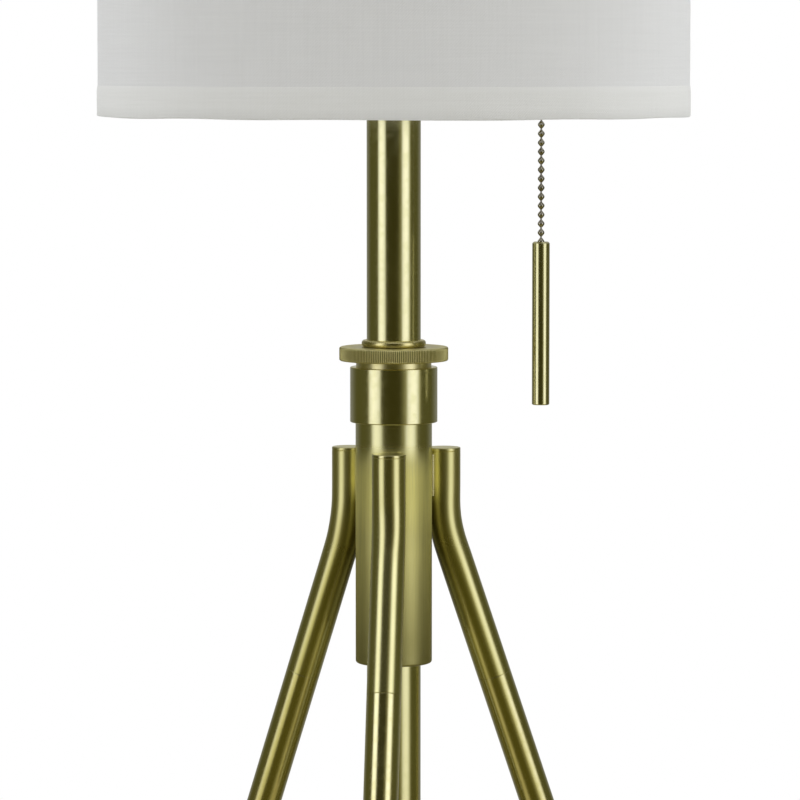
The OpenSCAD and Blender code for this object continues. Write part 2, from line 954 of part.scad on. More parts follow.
module wire_ring(z) {
    translate([0, 0, z])
        rotate_extrude()
            translate([ring_r, 0])
                circle(ring_wire_r);
}

// The spider: a washer on the harp's stud, three arms and the shade's top ring, brazed into one
module shade_fitter() {
    arm_start = washer_d / 2 - 2;
    arm_z = washer_z + washer_t / 2;
    rise = top_ring_z - arm_z;
    run = ring_r - arm_start;
    color(steel) {
        wire_ring(top_ring_z);
        difference() {
            union() {
                translate([0, 0, washer_z])
                    cylinder(h = washer_t, r = washer_d / 2);
                for (direction = arm_angles)
                    rotate([0, 0, direction])
                        translate([arm_start, 0, arm_z])
                            rotate([0, atan2(run, rise), 0])
                                cylinder(h = norm([run, rise]), r = arm_wire_d / 2);
            }
            translate([0, 0, washer_z - washer_t])
                cylinder(h = 3 * washer_t, r = harp_stud_d / 2 + run_gap);
        }
    }
}

module shade_bottom_ring() {
    color(steel)
        wire_ring(bottom_ring_z);
}

// A tape folded round the shade's edge at z = 0: a wide outer leg, a web and a short return
module folded_hem() {
    rotate_extrude()
        difference() {
            translate([hem_bore_r - hem_t, 0])
                square([shade_r - hem_bore_r + hem_t, hem_w]);
            translate([hem_bore_r, hem_t])
                square([linen_r - hem_bore_r, hem_w]);
            translate([hem_bore_r - 2 * hem_t, hem_return])
                square([linen_r - hem_bore_r, hem_w]);
        }
}

module shade_bottom_hem() {
    color(hem_linen)
        translate([0, 0, shade_bottom_z])
            folded_hem();
}

// The top hem's return is slit where the spider's arms pass
module shade_top_hem() {
    slit_half = arm_wire_d / 2 + free_gap;
    color(hem_linen)
        difference() {
            translate([0, 0, shade_top_z])
                mirror([0, 0, 1])
                    folded_hem();
            for (direction = arm_angles)
                rotate([0, 0, direction])
                    translate([hem_bore_r - 2 * hem_t, -slit_half, shade_top_z - hem_return - 1])
                        cube([3 * hem_t, 2 * slit_half, hem_return + 1 - 2 * hem_t]);
        }
}

// A turned finial: a foot, a waist and a ball, threaded on the harp's stud
module finial() {
    foot_h = 2.5;
    waist_r = harp_stud_d / 2 + 1.6;
    ball_r = finial_d / 2;
    ball_z = harp_stud_len + 1.5;
    color(brass)
        translate([0, 0, washer_z + washer_t])
            difference() {
                union() {
                    turned_tube(0, finial_foot_d / 2, foot_h, 0.6);
                    cylinder(h = ball_z, r = waist_r);
                    translate([0, 0, ball_z])
                        sphere(ball_r);
                }
                translate([0, 0, -eps])
                    cylinder(h = harp_stud_len + 0.5, r = harp_stud_d / 2 + run_gap);
            }
}

module switch_case() {
    length = case_end_x - case_x;
    color(phenolic)
        difference() {
            translate([case_x, -case_w / 2, bracket_top_z])
                cube([length, case_w, case_h]);
            translate([case_x + case_wall, case_wall - case_w / 2, bracket_top_z + case_wall])
                cube([length - 2 * case_wall, case_w - 2 * case_wall, case_h - 2 * case_wall]);
            translate([chain_r, 0, bracket_top_z - eps])
                cylinder(h = case_wall + 2 * eps, r = nipple_r);
            translate([drum_x, -case_w, drum_z])
                rotate([-90, 0, 0])
                    cylinder(h = 2 * case_w, r = journal_r + run_gap);
        }
}

// The switch's threaded nipple, with a flared mouth for the chain
module switch_nipple() {
    top_z = bracket_top_z + case_wall;
    color(brass)
        translate([chain_r, 0, mouth_z])
            difference() {
                cylinder(h = top_z - mouth_z, r = nipple_r);
                translate([0, 0, -eps])
                    cylinder(h = top_z - mouth_z + 2 * eps, r = bead_r + free_gap);
                translate([0, 0, -eps])
                    cylinder(h = 2, r1 = bead_r + free_gap + 1.5, r2 = bead_r + free_gap);
            }
}

module switch_drum() {
    width = case_w / 3;
    color(black)
        translate([drum_x, 0, drum_z])
            rotate([90, 0, 0]) {
                translate([0, 0, -width / 2])
                    cylinder(h = width, r = drum_r);
                translate([0, 0, -case_w / 2])
                    cylinder(h = case_w, r = journal_r);
            }
}

// A ring of points round the coil's wire at one place along the return spring
function coil_ring(t, sides) = [for (k = [0:sides - 1])
    let (out = spring_r + spring_wire_r * cos(360 * k / sides))
    [out * cos(360 * t), out * sin(360 * t),
        spring_wire_r * sin(360 * k / sides) + t * (case_w / 3 - 2 * case_wall) / spring_turns]];

module switch_spring() {
    sides = 6;
    rings = 8 * spring_turns;
    points = [for (i = [0:rings]) each coil_ring(i / 8, sides)];
    walls = [for (i = [0:rings - 1], k = [0:sides - 1])
        let (a = i * sides + k, b = i * sides + (k + 1) % sides)
        each [[a, b, b + sides], [a, b + sides, a + sides]]];
    start_face = [for (k = [1:sides - 2]) [0, k + 1, k]];
    last = rings * sides;
    end_face = [for (k = [1:sides - 2]) [last, last + k, last + k + 1]];
    color(steel)
        translate([drum_x, -case_w / 6 - free_gap - spring_wire_r, drum_z])
            rotate([90, 0, 0])
                polyhedron(points = points, faces = concat(walls, start_face, end_face));
}

module chain_inner() {
    color(steel)
        translate([chain_r, 0, pivot_z + inner_beads * bead_pitch])
            bead_string(inner_beads, 0, bead_pitch - bead_r - free_gap);
}

// The bead at the nipple's mouth that the chain swings about
module chain_pivot_bead() {
    color(steel)
        translate([chain_r, 0, pivot_z])
            sphere(bead_r);
}

module chain_hanging() {
    color(steel)
        translate([chain_r, 0, pivot_z - bead_pitch])
            bead_string(hang_beads, bead_pitch - bead_r - free_gap, 0);
}

module pull_fob() {
    color(brass)
        translate([chain_r, 0, fob_top_z - fob_len])
            difference() {
                turned_tube(0, fob_r, fob_len);
                translate([0, 0, fob_len - bead_r - free_gap])
                    cylinder(h = bead_d, r = bead_r + free_gap);
            }
}

hub_tube();
guide_bush();
collar_sleeve();
collet();
upper_leg(front);  // upper_leg_front
upper_leg(right);  // upper_leg_right
upper_leg(left);  // upper_leg_left
leg_cap(front);  // leg_cap_front
leg_cap(right);  // leg_cap_right
leg_cap(left);  // leg_cap_left
leg_welds();
leg_sockets();
leg_studs();
lower_leg(front);  // lower_leg_front
lower_leg(right);  // lower_leg_right
lower_leg(left);  // lower_leg_left
foot_tip(front);  // foot_tip_front
foot_tip(right);  // foot_tip_right
foot_tip(left);  // foot_tip_left
clamp_nut();
trim_ring();
pole();
pole_end_cap();
cord_bushing();
pole_top_plug();
nipple();
lock_nuts();
switch_bracket();
harp_saddle();
switch_case();
switch_nipple();
socket_cap();
socket_core();
socket_screw_shell();
socket_contact();
terminal_screws();
socket_liner();
socket_shell();
harp();
harp_stud();
harp_sleeve(1);  // harp_sleeve_right
harp_sleeve(-1);  // harp_sleeve_left
shade_fabric();
shade_liner();
shade_fitter();
shade_bottom_ring();
shade_top_hem();
shade_bottom_hem();
finial();
bulb_globe();
bulb_base();
bulb_contact();
bulb_stem();
bulb_filament();
switch_drum();
switch_spring();
chain_inner();
chain_pivot_bead();
chain_hanging();
pull_fob();
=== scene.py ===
import math

import bmesh
import bpy
from mathutils import Matrix, Vector, noise


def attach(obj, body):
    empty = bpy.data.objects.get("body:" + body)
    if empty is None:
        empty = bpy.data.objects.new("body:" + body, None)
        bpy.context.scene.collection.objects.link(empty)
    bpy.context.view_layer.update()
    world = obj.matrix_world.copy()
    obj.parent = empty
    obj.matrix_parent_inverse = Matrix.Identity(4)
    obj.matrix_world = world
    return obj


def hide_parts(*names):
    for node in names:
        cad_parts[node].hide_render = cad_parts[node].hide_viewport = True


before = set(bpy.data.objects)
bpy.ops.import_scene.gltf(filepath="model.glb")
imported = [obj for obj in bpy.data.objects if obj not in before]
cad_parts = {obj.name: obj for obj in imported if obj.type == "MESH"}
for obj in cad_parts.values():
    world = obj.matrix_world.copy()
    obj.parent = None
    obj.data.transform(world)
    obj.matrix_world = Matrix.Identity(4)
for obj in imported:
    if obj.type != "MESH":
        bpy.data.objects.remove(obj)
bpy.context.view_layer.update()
scene = bpy.context.scene


# ---------------------------------------------------------------------------
# Camera. The lamp was photographed from two metres away, level with the shade's
# lower edge and turned five degrees to its right, then cropped to the joint.
# ---------------------------------------------------------------------------
CAMERA_AWAY = 2.0219
CAMERA_UP = 0.5074
CAMERA_TURN = math.radians(5)

camera = bpy.data.objects.new("camera", bpy.data.cameras.new("camera"))
scene.collection.objects.link(camera)
camera.location = (CAMERA_AWAY * math.sin(CAMERA_TURN), -CAMERA_AWAY * math.cos(CAMERA_TURN), CAMERA_UP)
camera.rotation_euler = (math.radians(90 - 4.52), 0, CAMERA_TURN - math.radians(0.083))
camera.data.sensor_width = 36
camera.data.lens = 194.1
scene.camera = camera


# ---------------------------------------------------------------------------
# Studio. A dim warm room with a white sweep behind and two tall lit panels in
# front, soft fill lights for the shade, and a pale floor that fades out.
# ---------------------------------------------------------------------------
def add(tree, kind, feeds=None, **settings):
    """One shader node with its settings; each input is a value or the socket that feeds it."""
    node = tree.nodes.new("ShaderNode" + kind)
    for name, value in settings.items():
        setattr(node, name, value)
    for key, value in (feeds or {}).items():
        if isinstance(value, bpy.types.NodeSocket):
            tree.links.new(value, node.inputs[key])
        else:
            node.inputs[key].default_value = value
    return node


def calc(tree, operation, *values):
    return add(tree, "Math", dict(enumerate(values)), operation=operation).outputs[0]


def ranged(tree, value, low, high, to_low=0.0, to_high=1.0):
    feeds = {"Value": value, "From Min": low, "From Max": high, "To Min": to_low, "To Max": to_high}
    return add(tree, "MapRange", feeds, interpolation_type="SMOOTHSTEP").outputs[0]


def mixed(tree, share, first, second, how="MIX"):
    return add(tree, "Mix", {0: share, 6: first, 7: second}, data_type="RGBA", blend_type=how).outputs[2]


scene.view_settings.view_transform = "Standard"
scene.view_settings.look = "None"

world = bpy.data.worlds.new("white_room")
scene.world = world
world.use_nodes = True
room = world.node_tree
room.nodes.clear()
way = add(room, "TexCoord").outputs["Generated"]
front = add(room, "VectorMath", {0: way, 1: (math.sin(CAMERA_TURN), -math.cos(CAMERA_TURN), 0)},
            operation="DOT_PRODUCT").outputs["Value"]
side = add(room, "VectorMath", {0: way, 1: (math.cos(CAMERA_TURN), math.sin(CAMERA_TURN), 0)},
           operation="DOT_PRODUCT").outputs["Value"]
rise = add(room, "SeparateXYZ", {0: way}).outputs["Z"]
bearing = calc(room, "MULTIPLY", calc(room, "ARCTAN2", side, front), 180 / math.pi)
turned = calc(room, "ABSOLUTE", bearing)
low = ranged(room, rise, -0.30, -0.04, 1, 0)

tone = mixed(room, ranged(room, turned, 6, 100), (0.032, 0.029, 0.0065, 1), (0.082, 0.078, 0.027, 1))
tone = mixed(room, low, tone, (0.080, 0.069, 0.011, 1))
tone = mixed(room, ranged(room, turned, 112, 158), tone, (0.22, 0.22, 0.205, 1))
tone = mixed(room, ranged(room, turned, 160, 170), tone, (0.50, 0.50, 0.48, 1))
right_lit = calc(room, "MULTIPLY", ranged(room, bearing, 32, 41), ranged(room, bearing, 63, 79, 1, 0))
right_lit = calc(room, "MULTIPLY_ADD", ranged(room, bearing, 14, 38, 0, 0.25), ranged(room, bearing, 38, 44, 1, 0),
                 right_lit)
left_lit = calc(room, "MULTIPLY", ranged(room, bearing, -73, -65), ranged(room, bearing, -38.5, -32.5, 1, 0))
lit = calc(room, "ADD", right_lit, left_lit)
lit = calc(room, "MULTIPLY", lit, ranged(room, rise, 0.80, 0.93, 1, 0))
off_middle = calc(room, "ABSOLUTE", calc(room, "SUBTRACT", turned, 54))
lit = calc(room, "MULTIPLY", lit, ranged(room, off_middle, 2, 21, 1, 0.68))
panel = mixed(room, ranged(room, rise, 0.10, 0.50), (1.20, 1.20, 1.20, 1), (1.36, 1.36, 1.36, 1))
panel = mixed(room, low, panel, (0.65, 0.61, 0.33, 1))
panel = mixed(room, ranged(room, rise, -0.75, -0.30, 1, 0), panel, (0.34, 0.29, 0.13, 1))
panel = mixed(room, ranged(room, lit, 0.05, 0.75), (1.20, 1.13, 0.58, 1), panel)
tone = mixed(room, lit, tone, panel)
tone = mixed(room, ranged(room, rise, 0.55, 0.90), tone, (0.34, 0.33, 0.30, 1))
dim_room = add(room, "Background", {"Color": tone, "Strength": 1.0})
white_room = add(room, "Background", {"Color": (1, 1, 1, 1), "Strength": 1.0})
seen = add(room, "LightPath").outputs["Is Camera Ray"]
both = add(room, "MixShader", {0: seen, 1: dim_room.outputs[0], 2: white_room.outputs[0]})
room.links.new(both.outputs[0], room.nodes.new("ShaderNodeOutputWorld").inputs["Surface"])


def fill_light(name, bearing, away, height, size, glow):
    """A broad square light that faces the lamp and lights its cloth, but isn't mirrored in its brass."""
    turn = math.radians(bearing) + CAMERA_TURN - math.pi / 2
    light = bpy.data.lights.new(name, "AREA")
    light.size = size
    light.energy = glow * math.pi * size ** 2
    light.color = (0.95, 0.975, 1.0)
    lamp = bpy.data.objects.new(name, light)
    scene.collection.objects.link(lamp)
    lamp.location = (away * math.cos(turn), away * math.sin(turn), height)
    lamp.rotation_euler = (Vector((0, 0, 0.55)) - lamp.location).to_track_quat("-Z", "Y").to_euler()
    lamp.visible_camera = False
    lamp.visible_glossy = False


fill_light("left_fill", -108, 1.9, 1.1, 1.5, 3.2)
fill_light("right_fill", 104, 1.9, 1.1, 1.5, 3.4)
fill_light("front_fill", 0, 2.9, 1.4, 2.0, 2.1)
fill_light("back_fill", 180, 2.5, 1.2, 1.9, 1.0)
fill_light("overhead", 0, 0.01, 2.4, 1.7, 1.3)

FLOOR_REACH = 0.92
disc = bmesh.new()
bmesh.ops.create_circle(disc, cap_ends=True, segments=96, radius=FLOOR_REACH)
floor_mesh = bpy.data.meshes.new("floor")
disc.to_mesh(floor_mesh)
disc.free()
floor = bpy.data.objects.new("floor", floor_mesh)
scene.collection.objects.link(floor)
floor.visible_glossy = False
pale = bpy.data.materials.new("pale_floor")
pale.use_nodes = True
paint = pale.node_tree
matte = paint.nodes["Principled BSDF"]
matte.inputs["Base Color"].default_value = (0.93, 0.93, 0.92, 1)
matte.inputs["Roughness"].default_value = 0.8
matte.inputs["Specular IOR Level"].default_value = 0.2
spot = add(paint, "TexCoord").outputs["Object"]
out_from_middle = add(paint, "VectorMath", {0: spot}, operation="LENGTH").outputs["Value"]
paint.links.new(ranged(paint, out_from_middle, 0.40, 0.90, 1, 0), matte.inputs["Alpha"])
floor_mesh.materials.append(pale)


# ---------------------------------------------------------------------------
# Hub. A round brass tube, turned and satin-brushed, with a nylon guide bush in
# its lower end and a polished collar sleeve soldered on its top, where the nut
# screws in.
# ---------------------------------------------------------------------------
MM = 0.001


def group(name, takes, gives):
    """A shader group with named inputs and outputs, and its sockets to wire inside it."""
    tree = bpy.data.node_groups.new(name, "ShaderNodeTree")
    for label, value in takes.items():
        kind = "NodeSocketColor" if isinstance(value, tuple) else "NodeSocketFloat"
        tree.interface.new_socket(name=label, in_out="INPUT", socket_type=kind).default_value = value
    for label, kind in gives.items():
        tree.interface.new_socket(name=label, in_out="OUTPUT", socket_type="NodeSocket" + kind)
    return tree, tree.nodes.new("NodeGroupInput").outputs, tree.nodes.new("NodeGroupOutput").inputs


def brushed_metal():
    """Metal with faint cloudy tarnish, fine drawn lines, small nicks, rubbed edges, golden and brown tints such as a
    torch leaves, painted highlights, and painted shade where marked.
    """
    tree, takes, gives = group(
        "brushed_metal",
        {"Metal": (0.8, 0.7, 0.5, 1), "Tarnish": (0.4, 0.3, 0.1, 1), "Tarnished": 0.3, "Roughness": 0.3,
         "Lines": 0.5, "Nicks": 0.0},
        {"Color": "Color", "Roughness": "Float", "Metallic": "Float", "Height": "Float"})
    place = add(tree, "TexCoord").outputs["Object"]
    drawn = add(tree, "Mapping", {"Vector": place, "Scale": (1, 1, 0.02)}).outputs[0]
    cloud = add(tree, "TexNoise", {"Vector": place, "Scale": 30.0, "Detail": 2.0}).outputs["Fac"]
    lines = add(tree, "TexNoise", {"Vector": drawn, "Scale": 1500.0, "Detail": 2.0}).outputs["Fac"]
    grain = add(tree, "TexNoise", {"Vector": place, "Scale": 2600.0, "Detail": 1.0}).outputs["Fac"]
    patches = add(tree, "TexNoise", {"Vector": place, "Scale": 240.0, "Detail": 3.0}).outputs["Fac"]
    edge = add(tree, "Attribute", attribute_name="edge").outputs["Fac"]
    heat = add(tree, "Attribute", attribute_name="heat").outputs["Fac"]
    matt = add(tree, "Attribute", attribute_name="matt").outputs["Fac"]
    seam_line_and_painted_shade = add(tree, "Attribute", attribute_name="seam_line_and_painted_shade").outputs["Fac"]
    # Rubbed edges; on the knurl's crests the same mark is a painted highlight.
    wear_and_painted_light = calc(tree, "MULTIPLY", edge, ranged(tree, patches, 0.30, 0.62))
    spots = ranged(tree, cloud, 0.40, 0.70)
    colour = mixed(tree, calc(tree, "MULTIPLY", spots, takes["Tarnished"]), takes["Metal"], takes["Tarnish"])
    colour = mixed(tree, calc(tree, "MULTIPLY", wear_and_painted_light, 0.25), colour, (0.93, 0.88, 0.66, 1))
    # Golden and brown tints: a torch's colours beside the brazed joints, and a warmer tint on the pole below the hub.
    tint_depth = calc(tree, "MULTIPLY", heat, calc(tree, "MULTIPLY_ADD", patches, 1.8, 0.25))
    colour = mixed(tree, ranged(tree, tint_depth, 0.15, 0.60), colour, (0.80, 0.62, 0.18, 1))
    colour = mixed(tree, ranged(tree, tint_depth, 0.75, 1.15), colour, (0.46, 0.26, 0.06, 1))
    shift = calc(tree, "MULTIPLY", calc(tree, "SUBTRACT", lines, 0.5), takes["Lines"])
    shift = calc(tree, "MULTIPLY", shift, calc(tree, "MULTIPLY_ADD", matt, 2.5, 1.0))
    lift = calc(tree, "MULTIPLY_ADD", shift, 0.22, 1.0)
    # Painted highlight: the rougher places are also painted brighter and yellower.
    colour = mixed(tree, calc(tree, "MULTIPLY", matt, 0.8), colour, (0.97, 0.91, 0.34, 1))
    colour = add(tree, "VectorMath", {0: colour, 3: lift}, operation="SCALE").outputs[0]
    # Painted shade: marked places, and the dark seam lines, are mixed towards near-black brown.
    colour = mixed(tree, seam_line_and_painted_shade, colour, (0.11, 0.095, 0.02, 1))
    rough = calc(tree, "MULTIPLY_ADD", shift, 0.12, takes["Roughness"])
    rough = calc(tree, "MULTIPLY_ADD", spots, 0.02, rough)
    rough = calc(tree, "MULTIPLY_ADD", calc(tree, "MINIMUM", calc(tree, "MULTIPLY", matt, 1.5), 1.0), 0.27, rough)
    rough = calc(tree, "MULTIPLY_ADD", calc(tree, "MINIMUM", heat, 1.0), 0.16, rough)
    rough = calc(tree, "MULTIPLY_ADD", wear_and_painted_light, -0.05, rough)
    cell = add(tree, "TexVoronoi", {"Vector": place, "Scale": 70.0}).outputs
    chosen = add(tree, "SeparateXYZ", {0: cell["Color"]}).outputs["X"]
    nicks = calc(tree, "MULTIPLY", ranged(tree, cell["Distance"], 0.01, 0.055, 1, 0),
                 calc(tree, "GREATER_THAN", chosen, 0.93))
    nicks = calc(tree, "MULTIPLY", nicks, takes["Nicks"])
    height = calc(tree, "MULTIPLY", lines, takes["Lines"])
    height = calc(tree, "MULTIPLY_ADD", grain, 0.12, height)
    height = calc(tree, "MULTIPLY_ADD", nicks, -6.0, height)
    tree.links.new(colour, gives["Color"])
    tree.links.new(rough, gives["Roughness"])
    tree.links.new(calc(tree, "SUBTRACT", 1.0, calc(tree, "MULTIPLY", calc(tree, "POWER", matt, 2.0), 0.10)),
                   gives["Metallic"])
    tree.links.new(height, gives["Height"])
    return tree


METAL_FINISH = brushed_metal()


def clad(name, finish, values, relief, depth, **own):
    """A material from a finish group: its values, the bump's strength and depth in metres, and the shader's own values."""
    material = bpy.data.materials.new(name)
    material.use_nodes = True
    tree = material.node_tree
    shader = tree.nodes["Principled BSDF"]
    look = tree.nodes.new("ShaderNodeGroup")
    look.node_tree = finish
    for label, value in values.items():
        look.inputs[label].default_value = value
    for label, target in (("Color", "Base Color"), ("Roughness", "Roughness"), ("Metallic", "Metallic")):
        if label in look.outputs:
            tree.links.new(look.outputs[label], shader.inputs[target])
    bump = add(tree, "Bump", {"Height": look.outputs["Height"], "Strength": relief, "Distance": depth})
    tree.links.new(bump.outputs[0], shader.inputs["Normal"])
    for label, value in own.items():
        shader.inputs[label.replace("_", " ")].default_value = value
    return material


def metal(name, colour, tarnish, tarnished, roughness, lines=0.5, nicks=0.0, relief=0.25):
    values = {"Metal": (*colour, 1), "Tarnish": (*tarnish, 1), "Tarnished": tarnished,
              "Roughness": roughness, "Lines": lines, "Nicks": nicks}
    return clad(name, METAL_FINISH, values, relief, 0.00003)


def rounded(corners, closed):
    """The outline through corners of (radius, height, rounding) in millimetres, each corner turned into an arc."""
    line = []
    last = len(corners) - 1
    for i, corner in enumerate(corners):
        here = Vector(corner[:2])
        size = corner[2] if len(corner) > 2 else 0
        if not size or (not closed and i in (0, last)):
            line.append((here.x, here.y, 0.0))
            continue
        back = (Vector(corners[i - 1][:2]) - here).normalized()
        ahead = (Vector(corners[(i + 1) % len(corners)][:2]) - here).normalized()
        half = back.angle(ahead) / 2
        centre = here + (back + ahead).normalized() * size / math.sin(half)
        start = here + back * size / math.tan(half) - centre
        end = here + ahead * size / math.tan(half) - centre
        steps = 3 + int(size * 2)
        for k in range(steps + 1):
            point = centre + start.lerp(end, k / steps).normalized() * size
            line.append((point.x, point.y, 1.0 if size < 1.4 else 0.0))
    return line


def lathe(corners, sides=96, closed=True):
    """A turned form on the Z axis. An open outline starts and ends on the axis or leaves an open edge."""
    bm = bmesh.new()
    wear_and_painted_light = bm.verts.layers.float.new("edge")
    rings = []
    for r, z, mark in rounded(corners, closed):
        turns = [2 * math.pi * k / sides for k in range(sides if r > 1e-6 else 1)]
        ring = [bm.verts.new((r * MM * math.cos(a), r * MM * math.sin(a), z * MM)) for a in turns]
        for vert in ring:
            vert[wear_and_painted_light] = mark
        rings.append(ring)
    pairs = list(zip(rings, rings[1:])) + ([(rings[-1], rings[0])] if closed else [])
    for low, high in pairs:
        for k in range(sides):
            nxt = k + 1
            quad = [low[k % len(low)], low[nxt % len(low)], high[nxt % len(high)], high[k % len(high)]]
            quad = list(dict.fromkeys(quad))
            if len(quad) > 2:
                bm.faces.new(quad)
    return bm


def made(name, bm, material, body, slot, *nodes, place=None, crease=32):
    """Turns a finished mesh into a piece that rides on its body and stands for its nodes."""
    bmesh.ops.recalc_face_normals(bm, faces=bm.faces)
    mesh = bpy.data.meshes.new(name)
    bm.to_mesh(mesh)
    bm.free()
    mesh.polygons.foreach_set("use_smooth", [True] * len(mesh.polygons))
    mesh.set_sharp_from_angle(angle=math.radians(crease))
    mesh.materials.append(material)
    piece = bpy.data.objects.new(name, mesh)
    scene.collection.objects.link(piece)
    if place is not None:
        piece.matrix_world = place
    even = piece.modifiers.new("even_shading", "WEIGHTED_NORMAL")
    even.keep_sharp = True
    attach(piece, body)
    if nodes:
        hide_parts(*nodes)
    return piece


def dress(material, *nodes):
    """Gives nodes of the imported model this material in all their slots."""
    for name in nodes:
        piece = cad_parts[name]
        if not piece.material_slots:
            piece.data.materials.append(material)
        for place in piece.material_slots:
            place.material = material


HUB_R, HUB_BORE_R, HUB_LOW, HUB_HIGH = 18.0, 16.5, 223.3, 346.5
SLEEVE_R, SLEEVE_LOW, SLEEVE_HIGH = 20.55, 337.3, 363.3

soft_brass = metal("soft_satin_brass", (0.84, 0.81, 0.49), (0.70, 0.66, 0.34), 0.3, 0.22, lines=0.5, relief=0.10)
satin_brass = metal("satin_brass", (0.84, 0.81, 0.49), (0.76, 0.73, 0.41), 0.1, 0.20, lines=0.2, relief=0.04)


def marked(bm, mark, share):
    """Writes a mark on a mesh: share gives its strength at a place in millimetres."""
    layer = bm.verts.layers.float.get(mark) or bm.verts.layers.float.new(mark)
    for vert in bm.verts:
        vert[layer] = min(1, max(0, share(vert.co / MM)))
    return bm


def torch_mark(at):
    """Strength of the torch's colours beside the three brazed joints."""
    turn = (math.degrees(math.atan2(at.y, at.x)) - 30) % 120
    return (1 - min(turn, 120 - turn) / 24) * min(1, (326 - at.z) / 6) * min(1, (at.z - 292) / 16)


tube = lathe([(HUB_BORE_R, HUB_LOW, 0.2), (HUB_R, HUB_LOW, 1.2)] + [(HUB_R, 236 + 4 * k) for k in range(27)]
             + [(HUB_R, HUB_HIGH, 0.4), (HUB_BORE_R, HUB_HIGH, 0.2)], 144)
# Lower down the hub is rougher, with a painted highlight that makes it brighter and yellower, and towards its lower
# end painted shade darkens it.
tube = marked(tube, "matt", lambda at: min((328 - at.z) / 14, max(0.65, 1 - (298 - at.z) / 40)))
tube = marked(marked(tube, "seam_line_and_painted_shade", lambda at: 0.54 * min(1, (276 - at.z) / 46)), "heat", torch_mark)
made("hub", tube, soft_brass, "base", "hub_brass", "hub_tube")
made("collar", lathe([(17.75, 346.5), (HUB_R, 346.5), (HUB_R, SLEEVE_LOW, 0.1), (SLEEVE_R, SLEEVE_LOW, 0.5),
                      (SLEEVE_R, SLEEVE_HIGH, 0.5), (17.75, SLEEVE_HIGH, 0.3)], 144),
     satin_brass, "base", "pole_brass", "collar_sleeve")


def speckled():
    """Moulded or pressed stuff: faint mottling, small specks and a fine skin."""
    tree, takes, gives = group(
        "moulded_stuff",
        {"Tone": (0.1, 0.1, 0.1, 1), "Mottle": (0.2, 0.2, 0.2, 1), "Mottled": 0.4, "Roughness": 0.5, "Grain": 900.0},
        {"Color": "Color", "Roughness": "Float", "Height": "Float"})
    place = add(tree, "TexCoord").outputs["Object"]
    cloud = add(tree, "TexNoise", {"Vector": place, "Scale": 120.0, "Detail": 4.0}).outputs["Fac"]
    grain = add(tree, "TexNoise", {"Vector": place, "Scale": takes["Grain"], "Detail": 2.0}).outputs["Fac"]
    edge = add(tree, "Attribute", attribute_name="edge").outputs["Fac"]
    share = calc(tree, "MULTIPLY", ranged(tree, cloud, 0.38, 0.68), takes["Mottled"])
    share = calc(tree, "MULTIPLY_ADD", edge, 0.18, share)
    tree.links.new(mixed(tree, share, takes["Tone"], takes["Mottle"]), gives["Color"])
    rough = calc(tree, "MULTIPLY_ADD", calc(tree, "SUBTRACT", grain, 0.5), 0.3, takes["Roughness"])
    tree.links.new(rough, gives["Roughness"])
    tree.links.new(calc(tree, "MULTIPLY_ADD", cloud, 0.5, grain), gives["Height"])
    return tree


MOULDED = speckled()


def moulding(name, tone, mottle, mottled, roughness, grain=900.0, relief=0.3, **own):
    values = {"Tone": (*tone, 1), "Mottle": (*mottle, 1), "Mottled": mottled, "Roughness": roughness, "Grain": grain}
    return clad(name, MOULDED, values, relief, 0.00004, **own)


nylon = moulding("black_nylon", (0.018, 0.018, 0.017), (0.05, 0.05, 0.045), 0.5, 0.42)
made("guide", lathe([(12.75, 224.3, 0.5), (HUB_BORE_R, 224.3, 0.3), (HUB_BORE_R, 244.3), (12.75, 244.3, 0.5)], 96),
     nylon, "base", "nylon", "guide_bush")


# ---------------------------------------------------------------------------
# Upper legs. Three brass tubes, bent outward below the hub's middle and brazed
# to it along their straight tops, each closed with a turned cap. Inside their
# lower ends are steel plugs with the studs that the lower legs screw onto.
# ---------------------------------------------------------------------------
LEG_R, LEG_BORE_R = 8.0, 6.8
LEG_TOP, CAP_T = 324.4, 1.5
BEND_Z, BEND_R, SPLAY = 288.7, 70.0, 20.0
UPPER_RUN = 78.5
LEGS = {"front": -90, "right": 30, "left": 150}


def course(start, aim, steps):
    """Points on a flat course in the X-Z plane: straight runs (length,) and bends (radius, degrees to the left)."""
    place, turn = Vector(start), math.radians(aim)
    points = [place.copy()]
    for step in steps:
        if len(step) == 1:
            place = place + Vector((math.cos(turn), 0, math.sin(turn))) * step[0]
            points.append(place.copy())
            continue
        radius, degrees = step
        side = 1 if degrees > 0 else -1
        centre = place + Vector((-math.sin(turn), 0, math.cos(turn))) * radius * side
        pieces = max(4, int(abs(degrees) / 2))
        for k in range(pieces):
            turn += math.radians(degrees) / pieces
            place = centre - Vector((-math.sin(turn), 0, math.cos(turn))) * radius * side
            points.append(place.copy())
    return points


def eased(path, r, ease):
    """The path with its two ends drawn in by a small chamfer, and the radius at each of its points."""
    first = path[0].lerp(path[1], ease / (path[1] - path[0]).length)
    final = path[-1].lerp(path[-2], ease / (path[-2] - path[-1]).length)
    return [path[0], first, *path[1:-1], final, path[-1]], [r - ease, *[r] * len(path), r - ease]


